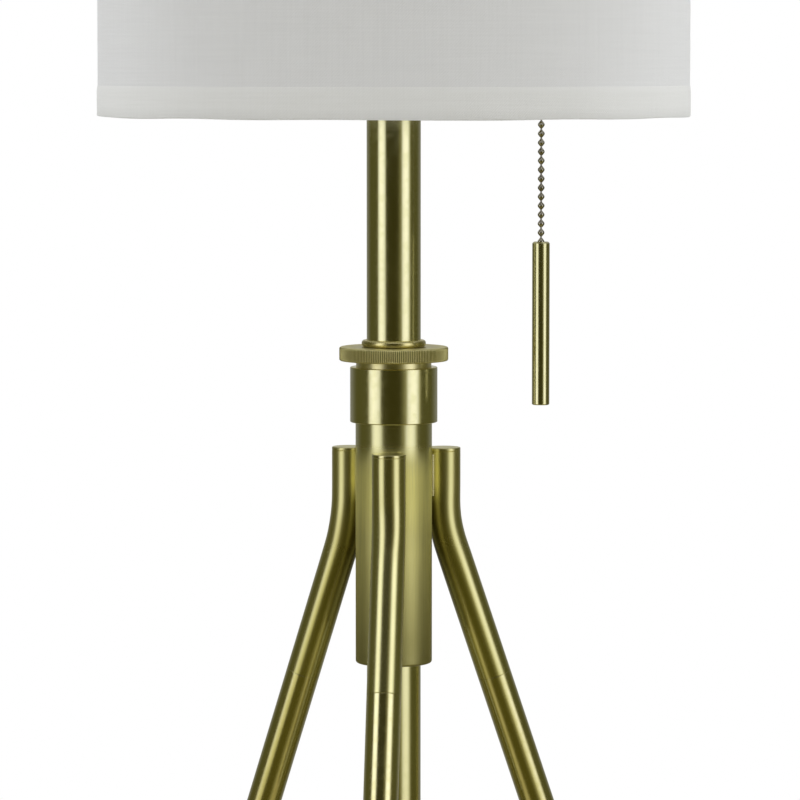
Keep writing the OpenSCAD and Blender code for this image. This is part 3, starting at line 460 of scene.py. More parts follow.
def rod(path, radii, sides=48):
    """A round rod along points in millimetres, with a radius at each, and closed ends."""
    bm = bmesh.new()
    wear_and_painted_light = bm.verts.layers.float.new("edge")
    across = None
    rings = []
    last = len(path) - 1
    for i, point in enumerate(path):
        ahead = (path[min(i + 1, last)] - path[max(i - 1, 0)]).normalized()
        across = ahead.orthogonal() if across is None else across
        across = (across - ahead * across.dot(ahead)).normalized()
        up = ahead.cross(across)
        turns = [2 * math.pi * k / sides for k in range(sides)]
        ring = [bm.verts.new((point + (across * math.cos(a) + up * math.sin(a)) * radii[i]) * MM) for a in turns]
        for vert in ring:
            vert[wear_and_painted_light] = 1.0 if i in (0, last) else 0.0
        rings.append(ring)
    for low, high in zip(rings, rings[1:]):
        for k in range(sides):
            bm.faces.new([low[k], low[(k + 1) % sides], high[(k + 1) % sides], high[k]])
    bm.faces.new(rings[0])
    bm.faces.new(rings[-1])
    return bm


def joined(parts):
    """Several meshes as one."""
    whole = bmesh.new()
    whole.verts.layers.float.new("edge")
    for part in parts:
        mesh = bpy.data.meshes.new("part")
        part.to_mesh(mesh)
        part.free()
        whole.from_mesh(mesh)
        bpy.data.meshes.remove(mesh)
    return whole


def on_leg(side):
    """A leg's own place: its tube stands on the axis and leans out towards +X."""
    return Matrix.Rotation(math.radians(LEGS[side]), 4, "Z") @ Matrix.Translation(((HUB_R + LEG_R) * MM, 0, 0))


leg_brass = metal("bent_leg_brass", (0.84, 0.80, 0.44), (0.70, 0.65, 0.30), 0.3, 0.23, lines=0.15, nicks=1.0,
                  relief=0.08)
braze = metal("braze_brass", (0.88, 0.84, 0.58), (0.50, 0.44, 0.20), 0.5, 0.30, lines=0.1, relief=0.5)
steel = metal("plain_steel", (0.60, 0.60, 0.58), (0.30, 0.28, 0.24), 0.4, 0.34, lines=0.4)

bend_reach = BEND_R * math.tan(math.radians(SPLAY / 2))
for side in LEGS:
    path = course((0, 0, LEG_TOP - CAP_T), -90,
                  [((LEG_TOP - CAP_T - BEND_Z - bend_reach) / 8,)] * 8 + [(BEND_R, SPLAY)]
                  + [((UPPER_RUN - bend_reach) / 12,)] * 12)
    end, run = path[-1], (path[-1] - path[-2]).normalized()
    path, radii = eased(path[:-1] + [end - run * 0.9, end - run * 0.5, end], LEG_R, 0.22)
    leg = marked(rod(path, radii, 64), "heat",
                 lambda at: (1 - math.hypot(at.x + 8, at.y) / 14) * min(1, (at.z - 294) / 12) * 2.1)
    # The side legs are rougher towards their tops, with a painted highlight there; the front leg has neither.
    leg = marked(leg, "matt", lambda at: 0.0 if side == "front" else 0.2 * min(1, (at.z - 262) / 46))
    # Painted shade darkens each leg's inner side, which faces the hub, down through the bend; a dark line marks the
    # seam at the end of the upper leg.
    inner_shade_and_seam = leg.verts.layers.float.new("seam_line_and_painted_shade")
    for i, vert in enumerate(leg.verts):
        middle = path[i // 64]
        off = vert.co / MM - middle
        squash = 0.03 * math.exp(-((middle.z - BEND_Z) / 11) ** 2)
        turn = math.atan2(off.y, off.x)
        vert.co = (middle + off * (1 + squash * math.cos(2 * (turn - 0.8)))) * MM
        inner = min(1, max(0, (-off.x / LEG_R - 0.35) / 0.45))
        fall = min((308 - middle.z) / 10, (middle.z - 232) / 45)
        seam = 0.45 - abs((middle - end).dot(run)) / 0.8
        vert[inner_shade_and_seam] = max(0, seam, 0.9 * inner * min(1, max(0, fall)))
    made(f"bent_leg_{side}", leg, leg_brass, "base", "hub_brass", f"upper_leg_{side}", place=on_leg(side))
    cap = lathe([(0, LEG_TOP - CAP_T), (LEG_R, LEG_TOP - CAP_T, 0.15), (LEG_R, LEG_TOP, 0.55), (0, LEG_TOP)],
                64, closed=False)
    # The caps are rougher with a painted highlight, except the sides of the front leg's cap.
    cap = marked(cap, "matt", lambda at: 0.0 if side == "front" and at.z < LEG_TOP - 0.3 else 0.25)
    made(f"leg_lid_{side}", cap, leg_brass, "base", "hub_brass", f"leg_cap_{side}", place=on_leg(side))

seams = []
for side in LEGS:
    for hand in (-1, 1):
        steps = 60
        low, high = BEND_Z + bend_reach + 0.6, LEG_TOP - CAP_T - 1.2
        path = [Vector((-7.7, hand * 3.9, low + (high - low) * k / steps)) for k in range(steps + 1)]
        radii = [0.90 + 0.10 * math.sin(k * 1.9) + 0.14 * noise.noise(Vector((k * 0.37, hand, LEGS[side])))
                 for k in range(steps + 1)]
        radii[0] = radii[-1] = 0.3
        seam = rod(path, radii, 12)
        bmesh.ops.transform(seam, matrix=on_leg(side), verts=seam.verts)
        seams.append(seam)
made("brazed_seams", joined(seams), braze, "base", "hub_brass", "leg_welds", crease=80)
dress(steel, "leg_sockets", "leg_studs")


# ---------------------------------------------------------------------------
# Lower legs. Straight, more finely polished tubes that screw on at a hairline
# seam, each with a moulded rubber tip that is cut level with the table.
# ---------------------------------------------------------------------------
FOOT_H = 4.0
LOWER_END = (BEND_Z - FOOT_H - LEG_R * math.sin(math.radians(SPLAY))) / math.cos(math.radians(SPLAY))


def down_the_splay(side):
    """The splayed stretch's own place: its axis runs down -Z from the corner of the bend."""
    return on_leg(side) @ Matrix.Translation((0, 0, BEND_Z * MM)) @ Matrix.Rotation(math.radians(-SPLAY), 4, "Y")


lower_brass = metal("lower_leg_brass", (0.84, 0.79, 0.43), (0.70, 0.64, 0.30), 0.3, 0.22, lines=0.3, relief=0.06,
                    nicks=0.4)
rubber = moulding("foot_rubber", (0.020, 0.020, 0.019), (0.07, 0.07, 0.065), 0.6, 0.72, grain=1500.0, relief=0.5)

for side in LEGS:
    tube = lathe([(LEG_BORE_R, -LOWER_END), (LEG_R, -LOWER_END, 0.3), (LEG_R, -UPPER_RUN, 0.22),
                  (LEG_BORE_R, -UPPER_RUN)], 64)
    made(f"straight_leg_{side}", tube, lower_brass, "base", "pole_brass", f"lower_leg_{side}",
         place=down_the_splay(side))
    top = -LOWER_END
    tip = lathe([(0, top + 4), (LEG_BORE_R - 0.1, top + 4, 0.5), (LEG_BORE_R - 0.1, top), (LEG_R, top, 0.2),
                 (LEG_R, top - 1.3, 0.2), (LEG_R - 0.4, top - 1.7, 0.2), (LEG_R, top - 2.1, 0.2),
                 (LEG_R, top - 16), (0, top - 16)], 64, closed=False)
    bmesh.ops.transform(tip, matrix=down_the_splay(side), verts=tip.verts)
    cut = bmesh.ops.bisect_plane(tip, geom=tip.verts[:] + tip.edges[:] + tip.faces[:], plane_co=(0, 0, 0),
                                 plane_no=(0, 0, -1), clear_outer=True)
    rim = [e for e in cut["geom_cut"] if isinstance(e, bmesh.types.BMEdge)]
    bmesh.ops.contextual_create(tip, geom=rim)
    made(f"rubber_tip_{side}", tip, rubber, "base", "rubber", f"foot_tip_{side}")


# ---------------------------------------------------------------------------
# Clamp. A gland nut with a finely knurled flange screws into the collar and
# presses a split collet on the pole; a small rounded trim ring rides on it.
# ---------------------------------------------------------------------------
SHANK_R, SHANK_LOW, FLANGE_LOW = 17.7, 349.8, 366.2
NUT_R, NUT_HIGH, KNURLS = 25.6, 372.7, 180
TRIM_R, TRIM_HIGH = 15.1, 376.0
POLE_HOLE_R = 12.75

nut_brass = metal("knurled_brass", (0.95, 0.88, 0.50), (0.76, 0.67, 0.32), 0.4, 0.34, lines=0.1, relief=0.5)
trim_brass = metal("dull_ring_brass", (0.78, 0.70, 0.30), (0.60, 0.50, 0.18), 0.3, 0.30, lines=0.1, relief=0.2)

nut = lathe([(POLE_HOLE_R, NUT_HIGH, 0.4), (POLE_HOLE_R, 355.8), (15.0, 355.8), (17.1, SHANK_LOW),
             (SHANK_R, SHANK_LOW, 0.3), (SHANK_R, FLANGE_LOW, 0.2), (NUT_R, FLANGE_LOW, 0.8),
             (NUT_R, FLANGE_LOW + 1.6), (NUT_R, NUT_HIGH - 1.6), (NUT_R, NUT_HIGH, 0.8)], KNURLS * 6)
wear_and_painted_light = nut.verts.layers.float["edge"]
groove = nut.verts.layers.float.new("seam_line_and_painted_shade")
pressed = nut.verts.layers.float.new("matt")
# The knurl's crests are painted lighter as a highlight, its grooves are painted darker as shade, and its band is
# rougher with a painted highlight; the nut's top face is painted darker as shade.
for vert in nut.verts:
    r = math.hypot(vert.co.x, vert.co.y) / MM
    if r > NUT_R - 0.9:
        z = vert.co.z / MM
        inside = min(z - FLANGE_LOW, NUT_HIGH - z)
        depth = 0.50 * min(1, max(0, (inside - 0.05) / 0.9)) * min(1, (r - NUT_R + 0.9) / 0.6)
        tooth = abs(((math.atan2(vert.co.y, vert.co.x) / (2 * math.pi) * KNURLS) % 1) - 0.5) * 2
        shrink = (r - depth * (1 - min(1, tooth * 1.35))) / r
        vert.co.x *= shrink
        vert.co.y *= shrink
        vert[wear_and_painted_light] = max(vert[wear_and_painted_light], 0.8 * min(1, tooth))
        vert[groove] = 1.0 * max(0, 0.85 - tooth) * min(1, max(0, inside / 0.9))
        vert[pressed] = 0.4
    elif vert.co.z / MM > NUT_HIGH - 0.1:
        vert[groove] = 0.4
made("gland_nut", nut, nut_brass, "nut", "nut_brass", "clamp_nut", crease=60)
made("rounded_trim", lathe([(POLE_HOLE_R, NUT_HIGH, 0.3), (TRIM_R, NUT_HIGH, 1.38), (TRIM_R, TRIM_HIGH, 1.38),
                            (POLE_HOLE_R, TRIM_HIGH, 0.6)], 128),
     trim_brass, "trim", "pole_brass", "trim_ring")
dress(nut_brass, "collet")


# ---------------------------------------------------------------------------
# Pole. A drawn brass tube, finely satin-polished, that slides through the nut
# and the hub. Its end cap stops it in the hub and holds the cord's bushing.
# ---------------------------------------------------------------------------
POLE_R, POLE_BORE_R, POLE_LOW, POLE_HIGH = 12.7, 11.5, 124.0, 492.0

tube = lathe([(POLE_BORE_R, POLE_LOW), (POLE_R, POLE_LOW, 0.3), (POLE_R, 216), (POLE_R, 230), (POLE_R, POLE_HIGH, 0.3),
              (POLE_BORE_R, POLE_HIGH, 0.2)], 128)
# Below the hub the pole is painted warmer and more golden.
made("tube_pole", marked(tube, "heat", lambda at: 0.26 * (230 - at.z) / 14 if at.z > 215 else 0.26),
     satin_brass, "head", "pole_brass", "pole")
made("pole_stop", lathe([(6.25, 116, 0.2), (15, 116, 0.8), (15, POLE_LOW, 0.8), (POLE_BORE_R, POLE_LOW),
                         (POLE_BORE_R, 131.9, 0.4), (6.25, 131.9)], 96),
     satin_brass, "head", "pole_brass", "pole_end_cap")
made("cord_grommet", lathe([(3.75, 114.5, 0.7), (8.25, 114.5, 0.6), (8.25, 116, 0.3), (6.25, 116), (6.25, 131.9, 0.5),
                            (3.75, 131.9, 0.5)], 64),
     nylon, "head", "nylon", "cord_bushing")


# ---------------------------------------------------------------------------
# Mounting stack. A steel plug closes the pole's top; a threaded nipple through
# it carries the switch's bracket and the harp's saddle under hexagon nuts.
# ---------------------------------------------------------------------------
PLUG_TOP, BRACKET_TOP, SADDLE_Z = 494.0, 496.0, 500.0
CHAIN_X = 69.1
NUT_FLATS = 14.0


def hex_nut(low, x=0.0):
    """A chamfered hexagon nut standing at a height, its hole on the thread of the nipple."""
    tall = 4.0
    bm = lathe([(5.0, low, 0.3), (NUT_FLATS / 2 + 0.1, low), (NUT_FLATS / 2 / math.cos(math.pi / 6), low + 0.6),
                (NUT_FLATS / 2 / math.cos(math.pi / 6), low + tall - 0.6), (NUT_FLATS / 2 + 0.1, low + tall),
                (5.0, low + tall, 0.3)], 72)
    for vert in bm.verts:
        r = math.hypot(vert.co.x, vert.co.y) / MM
        if r > 6:
            a = math.atan2(vert.co.y, vert.co.x) % (math.pi / 3) - math.pi / 6
            shrink = min(r, NUT_FLATS / 2 / math.cos(a)) / r
            vert.co.x *= shrink
            vert.co.y *= shrink
    bmesh.ops.translate(bm, vec=(x * MM, 0, 0), verts=bm.verts)
    return bm


def pressed_plate(outline, low, high, edge):
    """A flat plate between two heights with softened edges, from its outline in millimetres."""
    bm = bmesh.new()
    bm.verts.layers.float.new("edge")
    floor_ring = [bm.verts.new((x * MM, y * MM, low * MM)) for x, y in outline]
    top_ring = [bm.verts.new((x * MM, y * MM, high * MM)) for x, y in outline]
    bm.faces.new(floor_ring)
    bm.faces.new(top_ring)
    for k in range(len(outline)):
        j = (k + 1) % len(outline)
        bm.faces.new([floor_ring[k], floor_ring[j], top_ring[j], top_ring[k]])
    rims = [e for e in bm.edges if abs(e.verts[0].co.z - e.verts[1].co.z) < 1e-7]
    bmesh.ops.bevel(bm, geom=rims, offset=edge * MM, segments=2, affect="EDGES", profile=0.5)
    return bm


made("pole_plug", lathe([(5.0, 480.0), (POLE_BORE_R, 480.0, 0.3), (POLE_BORE_R, POLE_HIGH), (POLE_R, POLE_HIGH, 0.1),
                         (POLE_R, PLUG_TOP, 0.5), (5.0, PLUG_TOP)], 96),
     steel, "head", "steel", "pole_top_plug")
made("hexagon_nuts", joined([hex_nut(476.0), hex_nut(BRACKET_TOP), hex_nut(490.0, CHAIN_X)]),
     steel, "head", "steel", "lock_nuts", crease=28)
ends = [(-9 * math.cos(math.radians(a)), 9 * math.sin(math.radians(a))) for a in range(90, -91, -6)]
far = [(CHAIN_X - x, y) for x, y in reversed(ends)]
made("bracket_strip", pressed_plate(ends + far, PLUG_TOP, BRACKET_TOP, 0.4), steel, "head", "steel",
     "switch_bracket")
dress(steel, "nipple", "harp_saddle")


# ---------------------------------------------------------------------------
# Pull switch. A moulded phenolic case on the bracket, with a brass nipple whose
# flared mouth lets the chain out, and a drum and spring inside.
# ---------------------------------------------------------------------------
CASE = (52.2, 76.1, 496.0, 520.0)
MOUTH_Z = 487.5

phenolic = moulding("phenolic", (0.030, 0.018, 0.012), (0.09, 0.045, 0.025), 0.7, 0.30, grain=700.0, relief=0.2,
                    Coat_Weight=0.25, Coat_Roughness=0.2)
dress(phenolic, "switch_case")
dress(nylon, "switch_drum")
dress(steel, "switch_spring")

thread = [(1.9, 499.4), (5.0, 499.4)]
for k in range(11, 0, -1):
    thread += [(5.0, MOUTH_Z + 0.5 + k * 0.9), (4.74, MOUTH_Z + 0.05 + k * 0.9)]
made("switch_mouth", lathe(thread + [(5.0, MOUTH_Z + 0.5), (5.0, MOUTH_Z, 0.4), (3.4, MOUTH_Z, 0.3), (1.9, MOUTH_Z + 2)], 64),
     satin_brass, "head", "pole_brass", "switch_nipple", place=Matrix.Translation((CHAIN_X * MM, 0, 0)))
band = pressed_plate([(CASE[0] - 0.2, -9.2), (CASE[1] + 0.2, -9.2), (CASE[1] + 0.2, 9.2), (CASE[0] - 0.2, 9.2)],
                     511.6, 512.4, 0.15)
made("case_joint", band, phenolic, "head", "phenolic")
rivets = []
for hand in (-1, 1):
    for x, z in ((CASE[0] + 3.5, CASE[2] + 3.5), (CASE[1] - 3.5, CASE[3] - 3.5)):
        rivet = lathe([(0, 0.7), (1.1, 0.6, 0.3), (1.6, 0, 0.1), (1.6, -0.3), (0, -0.3)], 24, closed=False)
        bmesh.ops.transform(rivet, verts=rivet.verts, matrix=Matrix.Translation((x * MM, hand * 9 * MM, z * MM))
                            @ Matrix.Rotation(-hand * math.pi / 2, 4, "X"))
        rivets.append(rivet)
made("case_rivets", joined(rivets), satin_brass, "head", "pole_brass")


# ---------------------------------------------------------------------------
# Pull chain. Hollow nickel-plated beads pressed on dumbbell links; the last bead
# is half sunk in the top of a slim turned brass rod.
# ---------------------------------------------------------------------------
BEAD_PITCH, BEAD_R, PIVOT_Z, BEADS = 4.2, 1.6, 485.3, 15
FOB_R, FOB_HIGH = 4.1, 422.3
FOB_LOW = FOB_HIGH - 76.5

nickel = metal("dark_nickel", (0.46, 0.44, 0.41), (0.20, 0.18, 0.15), 0.5, 0.22, lines=0.0, relief=0.15)


def beads(top, count, stub_up, stub_down):
    """A straight string of beads from the top one's middle downward, with stubs of link at both ends."""
    low = top - (count - 1) * BEAD_PITCH
    line = [(0, low - BEAD_R - stub_down), (0.45, low - BEAD_R - stub_down, 0.1)]
    for k in range(count):
        z = low + k * BEAD_PITCH
        line += [(0.45, z - 1.62), (0.68, z - 1.6, 0.1), (1.90, z, 1.12), (0.68, z + 1.6, 0.1), (0.45, z + 1.62)]
    line += [(0.45, top + BEAD_R + stub_up, 0.1), (0, top + BEAD_R + stub_up)]
    return lathe(line, 24, closed=False)


at_chain = Matrix.Translation((CHAIN_X * MM, 0, 0))
made("pivot_bead", beads(PIVOT_Z, 1, 0.1, 0.1), nickel, "chain_pivot", "chain_nickel", "chain_pivot_bead",
     place=at_chain, crease=50)
made("bead_chain", beads(PIVOT_Z - BEAD_PITCH, BEADS, 0.9, 0.1), nickel, "chain", "chain_nickel", "chain_hanging",
     place=at_chain, crease=50)
made("inner_chain", beads(PIVOT_Z + 5 * BEAD_PITCH, 5, 0.0, 0.9), nickel, "chain_feed", "chain_nickel",
     "chain_inner", place=at_chain, crease=50)
made("slim_fob", lathe([(0, FOB_LOW), (FOB_R, FOB_LOW, 0.6), (FOB_R, FOB_HIGH - 0.75), (FOB_R - 0.75, FOB_HIGH, 0.15),
                        (1.9, FOB_HIGH, 0.15), (1.9, FOB_HIGH - 1.9), (0, FOB_HIGH - 1.9)], 64, closed=False),
     satin_brass, "fob", "pole_brass", "pull_fob", place=at_chain)


# ---------------------------------------------------------------------------
# Socket. A spun brass cap and shell with pressed beads, a fibre sleeve inside,
# and a phenolic core that holds the screw shell, contact and terminal screws.
# ---------------------------------------------------------------------------
CAP_Z, FLOOR_Z, SHELL_TOP = 501.5, 512.0, 558.0

bright_brass = metal("spun_brass", (0.87, 0.80, 0.46), (0.66, 0.55, 0.25), 0.3, 0.18, lines=0.15, relief=0.1)
fibre = moulding("vulcan_fibre", (0.13, 0.065, 0.035), (0.22, 0.12, 0.06), 0.5, 0.75, grain=1100.0)

made("socket_cup", lathe([(5.0, CAP_Z), (7.5, CAP_Z, 0.5), (7.5, FLOOR_Z - 2.5, 0.8), (17.7, FLOOR_Z - 2.5, 2.5),
                          (17.7, 514.0, 0.2), (17.35, 514.6, 0.3), (17.7, 515.2, 0.2), (17.7, 518.5, 0.3),
                          (17.0, 518.5, 0.2), (17.0, FLOOR_Z), (5.0, FLOOR_Z)], 112),
     bright_brass, "head", "pole_brass", "socket_cap")
made("socket_tube", lathe([(16.2, FLOOR_Z), (16.9, FLOOR_Z), (16.9, 522.0, 0.4), (16.5, 522.8, 0.4),
                           (16.9, 523.6, 0.4), (16.9, 551.0, 0.4), (16.45, 552.0, 0.5), (16.9, 553.0, 0.4),
                           (16.9, SHELL_TOP, 0.3), (16.2, SHELL_TOP, 0.3)], 112),
     bright_brass, "head", "pole_brass", "socket_shell")
dress(phenolic, "socket_core")
dress(bright_brass, "socket_screw_shell", "socket_contact", "terminal_screws")
dress(fibre, "socket_liner")


# ---------------------------------------------------------------------------
# Bulb. A blown globe of white glass on an aluminium screw base with a black
# insulator and a contact, and a glass stem that holds the filament.
# ---------------------------------------------------------------------------
GLOBE_R, GLOBE_Z, NECK_R, NECK_Z = 30.0, 605.8, 12.6, 549.0
FLARE_R, GLASS_T = 40.0, 0.8

white_glass = moulding("white_glass", (0.86, 0.86, 0.83), (0.80, 0.79, 0.75), 0.3, 0.22, grain=300.0, relief=0.03,
                       Coat_Weight=0.6, Coat_Roughness=0.08, Transmission_Weight=0.12)
flare_z = GLOBE_Z - math.sqrt((FLARE_R + GLOBE_R) ** 2 - (NECK_R + FLARE_R) ** 2)
lean = math.atan2(flare_z - GLOBE_Z, NECK_R + FLARE_R)
wall_line = [(NECK_R - GLASS_T, NECK_Z), (NECK_R, NECK_Z, 0.2)]
for k in range(13):
    a = math.pi + lean * k / 12
    wall_line.append((NECK_R + FLARE_R + FLARE_R * math.cos(a), flare_z + FLARE_R * math.sin(a)))
for k in range(1, 41):
    a = lean + (math.pi / 2 - lean) * k / 40
    wall_line.append((max(0, GLOBE_R * math.cos(a)) if k < 40 else 0, GLOBE_Z + GLOBE_R * math.sin(a)))
glass = lathe(wall_line, 96, closed=False)
made("glass_globe", glass, white_glass, "bulb", "white_glass", "bulb_globe")

aluminium = metal("aluminium_base", (0.78, 0.78, 0.76), (0.50, 0.50, 0.48), 0.3, 0.30, lines=0.1)
clear_glass = moulding("stem_glass", (0.90, 0.92, 0.92), (0.85, 0.88, 0.88), 0.2, 0.08, relief=0.02,
                       Transmission_Weight=0.9, IOR=1.5)
dress(aluminium, "bulb_base", "bulb_filament")
dress(phenolic, "bulb_contact")
dress(clear_glass, "bulb_stem")


# ---------------------------------------------------------------------------
# Harp. One length of drawn brass wire bent round the bulb, held to its saddle
# by two sliding sleeves, with a threaded stud riveted to its top.
# ---------------------------------------------------------------------------
HARP_FOOT, HARP_REACH, HARP_LOW, HARP_TOP, WIRE_R = 27.0, 55.0, 517.0, 676.0, 2.0
JOG_R, SHOULDER_R, FOOT_RUN = 25.0, 45.0, 20.0
PIN_Z = 510.0

jog = math.radians(45)
jog_run = (HARP_REACH - HARP_FOOT - 2 * JOG_R * (1 - math.cos(jog))) / math.sin(jog)
side_run = (HARP_TOP - HARP_LOW - FOOT_RUN - SHOULDER_R - 2 * JOG_R * math.sin(jog) - jog_run * math.cos(jog))
half = course((HARP_FOOT, 0, HARP_LOW), 90,
              [(FOOT_RUN,), (JOG_R, -45), (jog_run,), (JOG_R, 45), (side_run,), (SHOULDER_R, 90)])
loop = [Vector((0, p.x, p.z)) for p in half] + [Vector((0, -p.x, p.z)) for p in reversed(half)]
loop, wire_radii = eased(loop, WIRE_R, 0.3)
made("harp_wire", rod(loop, wire_radii, 24), bright_brass, "head", "pole_brass", "harp")
made("harp_screw", lathe([(0, 673), (6, 673, 0.6), (6, 680, 0.5), (3.17, 680)]
                         + [(3.17 - 0.25 * (k % 2), 680.4 + k * 0.45) for k in range(30)]
                         + [(2.7, 694, 0.2), (0, 694)], 48, closed=False),
     bright_brass, "head", "pole_brass", "harp_stud")
for hand, name in ((1, "right"), (-1, "left")):
    sleeve = lathe([(2.05, PIN_Z, 0.2), (3.25, PIN_Z, 0.4), (3.25, 512.0, 0.1), (3.05, 512.4), (3.25, 512.8, 0.1),
                    (3.25, 519.2, 0.1), (3.05, 519.6), (3.25, 520.0, 0.1), (3.25, 522.0, 0.4), (2.05, 522.0, 0.2)], 40)
    made(f"lock_sleeve_{name}", sleeve, bright_brass, f"lock_{name}", "pole_brass", f"harp_sleeve_{name}",
         place=Matrix.Translation((0, hand * HARP_FOOT * MM, 0)))


# ---------------------------------------------------------------------------
# Shade. A drum of pale linen laminated on a stiff white liner and lapped at the
# back, with wire rings top and bottom held in folded tape hems, and a welded
# spider of three arms that sits on the harp's stud.
# ---------------------------------------------------------------------------
SHADE_R, SHADE_LOW, SHADE_HIGH = 138.6, 480.7, 695.7
LINEN_R, LINER_R, LINER_BORE_R = 138.2, 137.4, 136.8
HEM_W, HEM_T, HEM_BORE_R = 14.5, 0.4, 132.6
RING_R, RING_WIRE_R, WASHER_Z = 134.7, 2.0, 680.0
SEAM_AT = 98.0


def woven():
    """Plain-woven linen on a drum: crossing threads, thick and thin yarns, a faint slanting rib, and painted shade on
    its rounded folds.
    """
    tree, takes, gives = group(
        "linen_weave",
        {"Thread": (0.8, 0.8, 0.8, 1), "Between": (0.6, 0.6, 0.58, 1), "Drum radius": 0.1386, "Pitch": 0.0006,
         "Slubs": 0.4, "Rib": 0.5, "Roughness": 0.9},
        {"Color": "Color", "Roughness": "Float", "Height": "Float"})
    place = add(tree, "TexCoord").outputs["Object"]
    split = add(tree, "SeparateXYZ", {0: place}).outputs
    angle = calc(tree, "ARCTAN2", split["Y"], split["X"])
    across = calc(tree, "DIVIDE", calc(tree, "MULTIPLY", angle, takes["Drum radius"]), takes["Pitch"])
    up = calc(tree, "DIVIDE", split["Z"], takes["Pitch"])
    flat = add(tree, "CombineXYZ", {0: across, 1: up}).outputs[0]
    wobble = add(tree, "TexNoise", {"Vector": flat, "Scale": 0.08, "Detail": 2.0}).outputs["Fac"]
    across = calc(tree, "MULTIPLY_ADD", wobble, 0.9, across)
    up = calc(tree, "MULTIPLY_ADD", wobble, 0.9, up)
    warp = calc(tree, "ABSOLUTE", calc(tree, "SINE", calc(tree, "MULTIPLY", across, math.pi)))
    weft = calc(tree, "ABSOLUTE", calc(tree, "SINE", calc(tree, "MULTIPLY", up, math.pi)))
    turn = calc(tree, "ADD", calc(tree, "FLOOR", across), calc(tree, "FLOOR", up))
    over = calc(tree, "FLOORED_MODULO", turn, 2.0)
    thread = calc(tree, "ADD", calc(tree, "MULTIPLY", warp, over),
                  calc(tree, "MULTIPLY", weft, calc(tree, "SUBTRACT", 1.0, over)))
    along = add(tree, "Mapping", {"Vector": flat, "Scale": (0.02, 1, 1)}).outputs[0]
    down = add(tree, "Mapping", {"Vector": flat, "Scale": (1, 0.02, 1)}).outputs[0]
    slub = calc(tree, "ADD", add(tree, "TexNoise", {"Vector": along, "Scale": 0.55, "Detail": 2.0}).outputs["Fac"],
                add(tree, "TexNoise", {"Vector": down, "Scale": 0.55, "Detail": 2.0}).outputs["Fac"])
    slub = calc(tree, "MULTIPLY", calc(tree, "SUBTRACT", slub, 1.0), takes["Slubs"])
    slant = calc(tree, "MULTIPLY", calc(tree, "SUBTRACT", across, up), 2 * math.pi / 2.35)
    rib = calc(tree, "MULTIPLY", calc(tree, "SINE", slant), takes["Rib"])
    stain = add(tree, "TexNoise", {"Vector": place, "Scale": 14.0, "Detail": 3.0}).outputs["Fac"]
    dark = calc(tree, "MULTIPLY", calc(tree, "SUBTRACT", 1.0, thread), 0.30)
    dark = calc(tree, "ADD", dark, calc(tree, "MULTIPLY_ADD", slub, 1.3, 0.06))
    dark = calc(tree, "MULTIPLY_ADD", rib, 0.10, dark)
    dark = calc(tree, "MULTIPLY_ADD", calc(tree, "SUBTRACT", stain, 0.5), 0.22, dark)
    # Painted shade: the rounded folds of the tape are darker.
    dark = calc(tree, "MULTIPLY_ADD", add(tree, "Attribute", attribute_name="edge").outputs["Fac"], 0.35, dark)
    dark = add(tree, "Clamp", {"Value": dark}).outputs[0]
    tree.links.new(mixed(tree, dark, takes["Thread"], takes["Between"]), gives["Color"])
    tree.links.new(calc(tree, "MULTIPLY_ADD", dark, 0.08, takes["Roughness"]), gives["Roughness"])
    relief = calc(tree, "ADD", thread, calc(tree, "MULTIPLY", slub, 2.0))
    tree.links.new(calc(tree, "MULTIPLY_ADD", rib, 0.25, relief), gives["Height"])
    return tree


WEAVE = woven()


def cloth(name, thread, between, slubs, rib, relief=0.35, **own):
    values = {"Thread": (*thread, 1), "Between": (*between, 1), "Slubs": slubs, "Rib": rib, "Roughness": 0.88}
    return clad(name, WEAVE, values, relief, 0.00012, **own)


def handwork(r, a, z):
    """How far the cloth stands in or out at a bearing, in millimetres: soft hollows and the lap at the back."""
    at = Vector((math.cos(a) * 1.9, math.sin(a) * 1.9, z / 60))
    out = 0.22 * noise.noise(at) + 0.07 * noise.noise(at * 4)
    lap = math.degrees(a) - SEAM_AT
    return out + (0.25 if 0 < (lap + 180) % 360 - 180 < 4.6 else 0)


def hung(bm, low_edge=0.0):
    """Gives a drum's mesh its small hollows, and a little wave to its lower edge."""
    for vert in bm.verts:
        a = math.atan2(vert.co.y, vert.co.x)
        r = math.hypot(vert.co.x, vert.co.y) / MM
        grow = (r + handwork(r, a, vert.co.z / MM)) / r
        vert.co.x *= grow
        vert.co.y *= grow
        near = max(0, 1 - (vert.co.z / MM - SHADE_LOW) / HEM_W)
        vert.co.z += low_edge * near * noise.noise(Vector((math.cos(a) * 2.6, math.sin(a) * 2.6, 4.1))) * MM
    return bm


linen = cloth("pale_linen", (0.825, 0.825, 0.86), (0.635, 0.635, 0.67), 0.22, 0.6, Sheen_Weight=0.15,
              Sheen_Roughness=0.5)
tape = cloth("hem_tape", (0.86, 0.86, 0.88), (0.66, 0.66, 0.67), 0.18, 0.5, Sheen_Weight=0.15, Sheen_Roughness=0.5)
liner_white = moulding("liner_white", (0.84, 0.84, 0.82), (0.80, 0.79, 0.76), 0.4, 0.45, grain=500.0, relief=0.1)
ring_steel = metal("white_zinc", (0.72, 0.72, 0.70), (0.50, 0.49, 0.45), 0.4, 0.38, lines=0.2)

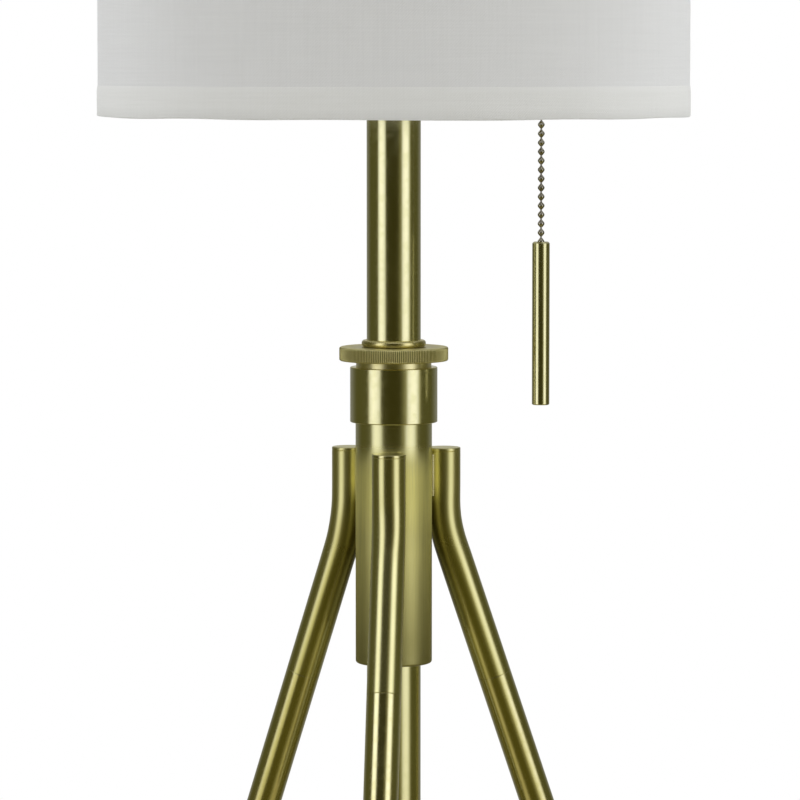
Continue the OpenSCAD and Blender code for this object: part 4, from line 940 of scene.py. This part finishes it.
rows = 26
skin = [(LINER_R + 0.02, SHADE_HIGH - 0.45), (LINER_R + 0.02, SHADE_LOW + 0.45)]
skin += [(LINEN_R - 0.02, SHADE_LOW + 0.45 + (SHADE_HIGH - SHADE_LOW - 0.9) * k / rows) for k in range(rows + 1)]
made("linen_drum", hung(lathe(skin, 720)), linen, "shade", "linen", "shade_fabric", crease=70)
made("styrene_liner", lathe([(LINER_BORE_R, SHADE_LOW + 0.5), (LINER_R, SHADE_LOW + 0.5), (LINER_R, SHADE_HIGH - 0.5),
                             (LINER_BORE_R, SHADE_HIGH - 0.5)], 256),
     liner_white, "shade", "liner", "shade_liner")


def folded_tape(edge, inward):
    """A tape folded over the shade's edge: wide outside, a rounded turn painted darker as shade, and a short return
    inside.
    """
    return lathe([(LINEN_R, edge + inward * HEM_W), (LINEN_R + 0.1, edge + inward * (HEM_W - 0.4)),
                  (SHADE_R - 0.12, edge + inward * (HEM_W - 1.8)), (SHADE_R, edge + inward * (HEM_W - 3)),
                  (SHADE_R, edge + inward * 5), (SHADE_R, edge, 0.6), (HEM_BORE_R - HEM_T, edge, 0.9), (HEM_BORE_R - HEM_T, edge + inward * 6, 0.1),
                  (HEM_BORE_R, edge + inward * 6), (HEM_BORE_R, edge + inward * HEM_T, 0.5),
                  (LINEN_R, edge + inward * HEM_T, 0.5)], 720)


made("lower_tape", hung(folded_tape(SHADE_LOW, 1), 0.5), tape, "shade", "hem", "shade_bottom_hem", crease=60)
upper = hung(folded_tape(SHADE_HIGH, -1))
made("upper_tape", upper, tape, "shade", "hem", "shade_top_hem", crease=60)


def wire_hoop(z):
    turns = [2 * math.pi * k / 20 for k in range(20)]
    return lathe([(RING_R + RING_WIRE_R * math.cos(a), z + RING_WIRE_R * math.sin(a)) for a in turns], 288)


TOP_RING_Z = SHADE_HIGH - HEM_T - 0.1 - RING_WIRE_R
arms = [wire_hoop(TOP_RING_Z),
        lathe([(3.25, WASHER_Z, 0.2), (14, WASHER_Z, 0.4), (14, WASHER_Z + 2, 0.5), (3.25, WASHER_Z + 2, 0.2)], 96)]
for a in (90, 210, 330):
    path = [Vector((11 + (RING_R - 11) * k / 16, 0, WASHER_Z + 1 + (TOP_RING_Z - WASHER_Z - 1) * k / 16)) for k in range(17)]
    arm = rod(path, [1.6] * len(path), 20)
    bmesh.ops.rotate(arm, verts=arm.verts, cent=(0, 0, 0), matrix=Matrix.Rotation(math.radians(a), 3, "Z"))
    arms.append(arm)
made("spider", joined(arms), ring_steel, "shade", "steel", "shade_fitter")
made("lower_hoop", wire_hoop(SHADE_LOW + HEM_T + 0.1 + RING_WIRE_R), ring_steel, "shade", "steel",
     "shade_bottom_ring")


# ---------------------------------------------------------------------------
# Finial. A turned brass knob with a foot and a waist, screwed down on the
# spider's washer.
# ---------------------------------------------------------------------------
BALL_R, BALL_Z, KNOB_LOW = 8.0, 695.5, 682.0

neck_angle = -math.acos(4.78 / BALL_R)
knob = [(3.25, KNOB_LOW + 12), (3.25, KNOB_LOW), (9.5, KNOB_LOW, 0.6), (9.5, KNOB_LOW + 2.5, 0.9), (6.2, KNOB_LOW + 3.2, 0.5),
        (4.78, KNOB_LOW + 5.0, 0.8)]
for k in range(25):
    a = neck_angle + (math.pi / 2 - neck_angle) * k / 24
    knob.append((BALL_R * math.cos(a) if k < 24 else 0, BALL_Z + BALL_R * math.sin(a)))
made("turned_knob", lathe([(0, KNOB_LOW + 12.2)] + knob, 72, closed=False), bright_brass, "finial", "pole_brass",
     "finial")


# ---------------------------------------------------------------------------
# Last. The view layer is brought up to date.
# ---------------------------------------------------------------------------
bpy.context.view_layer.update()
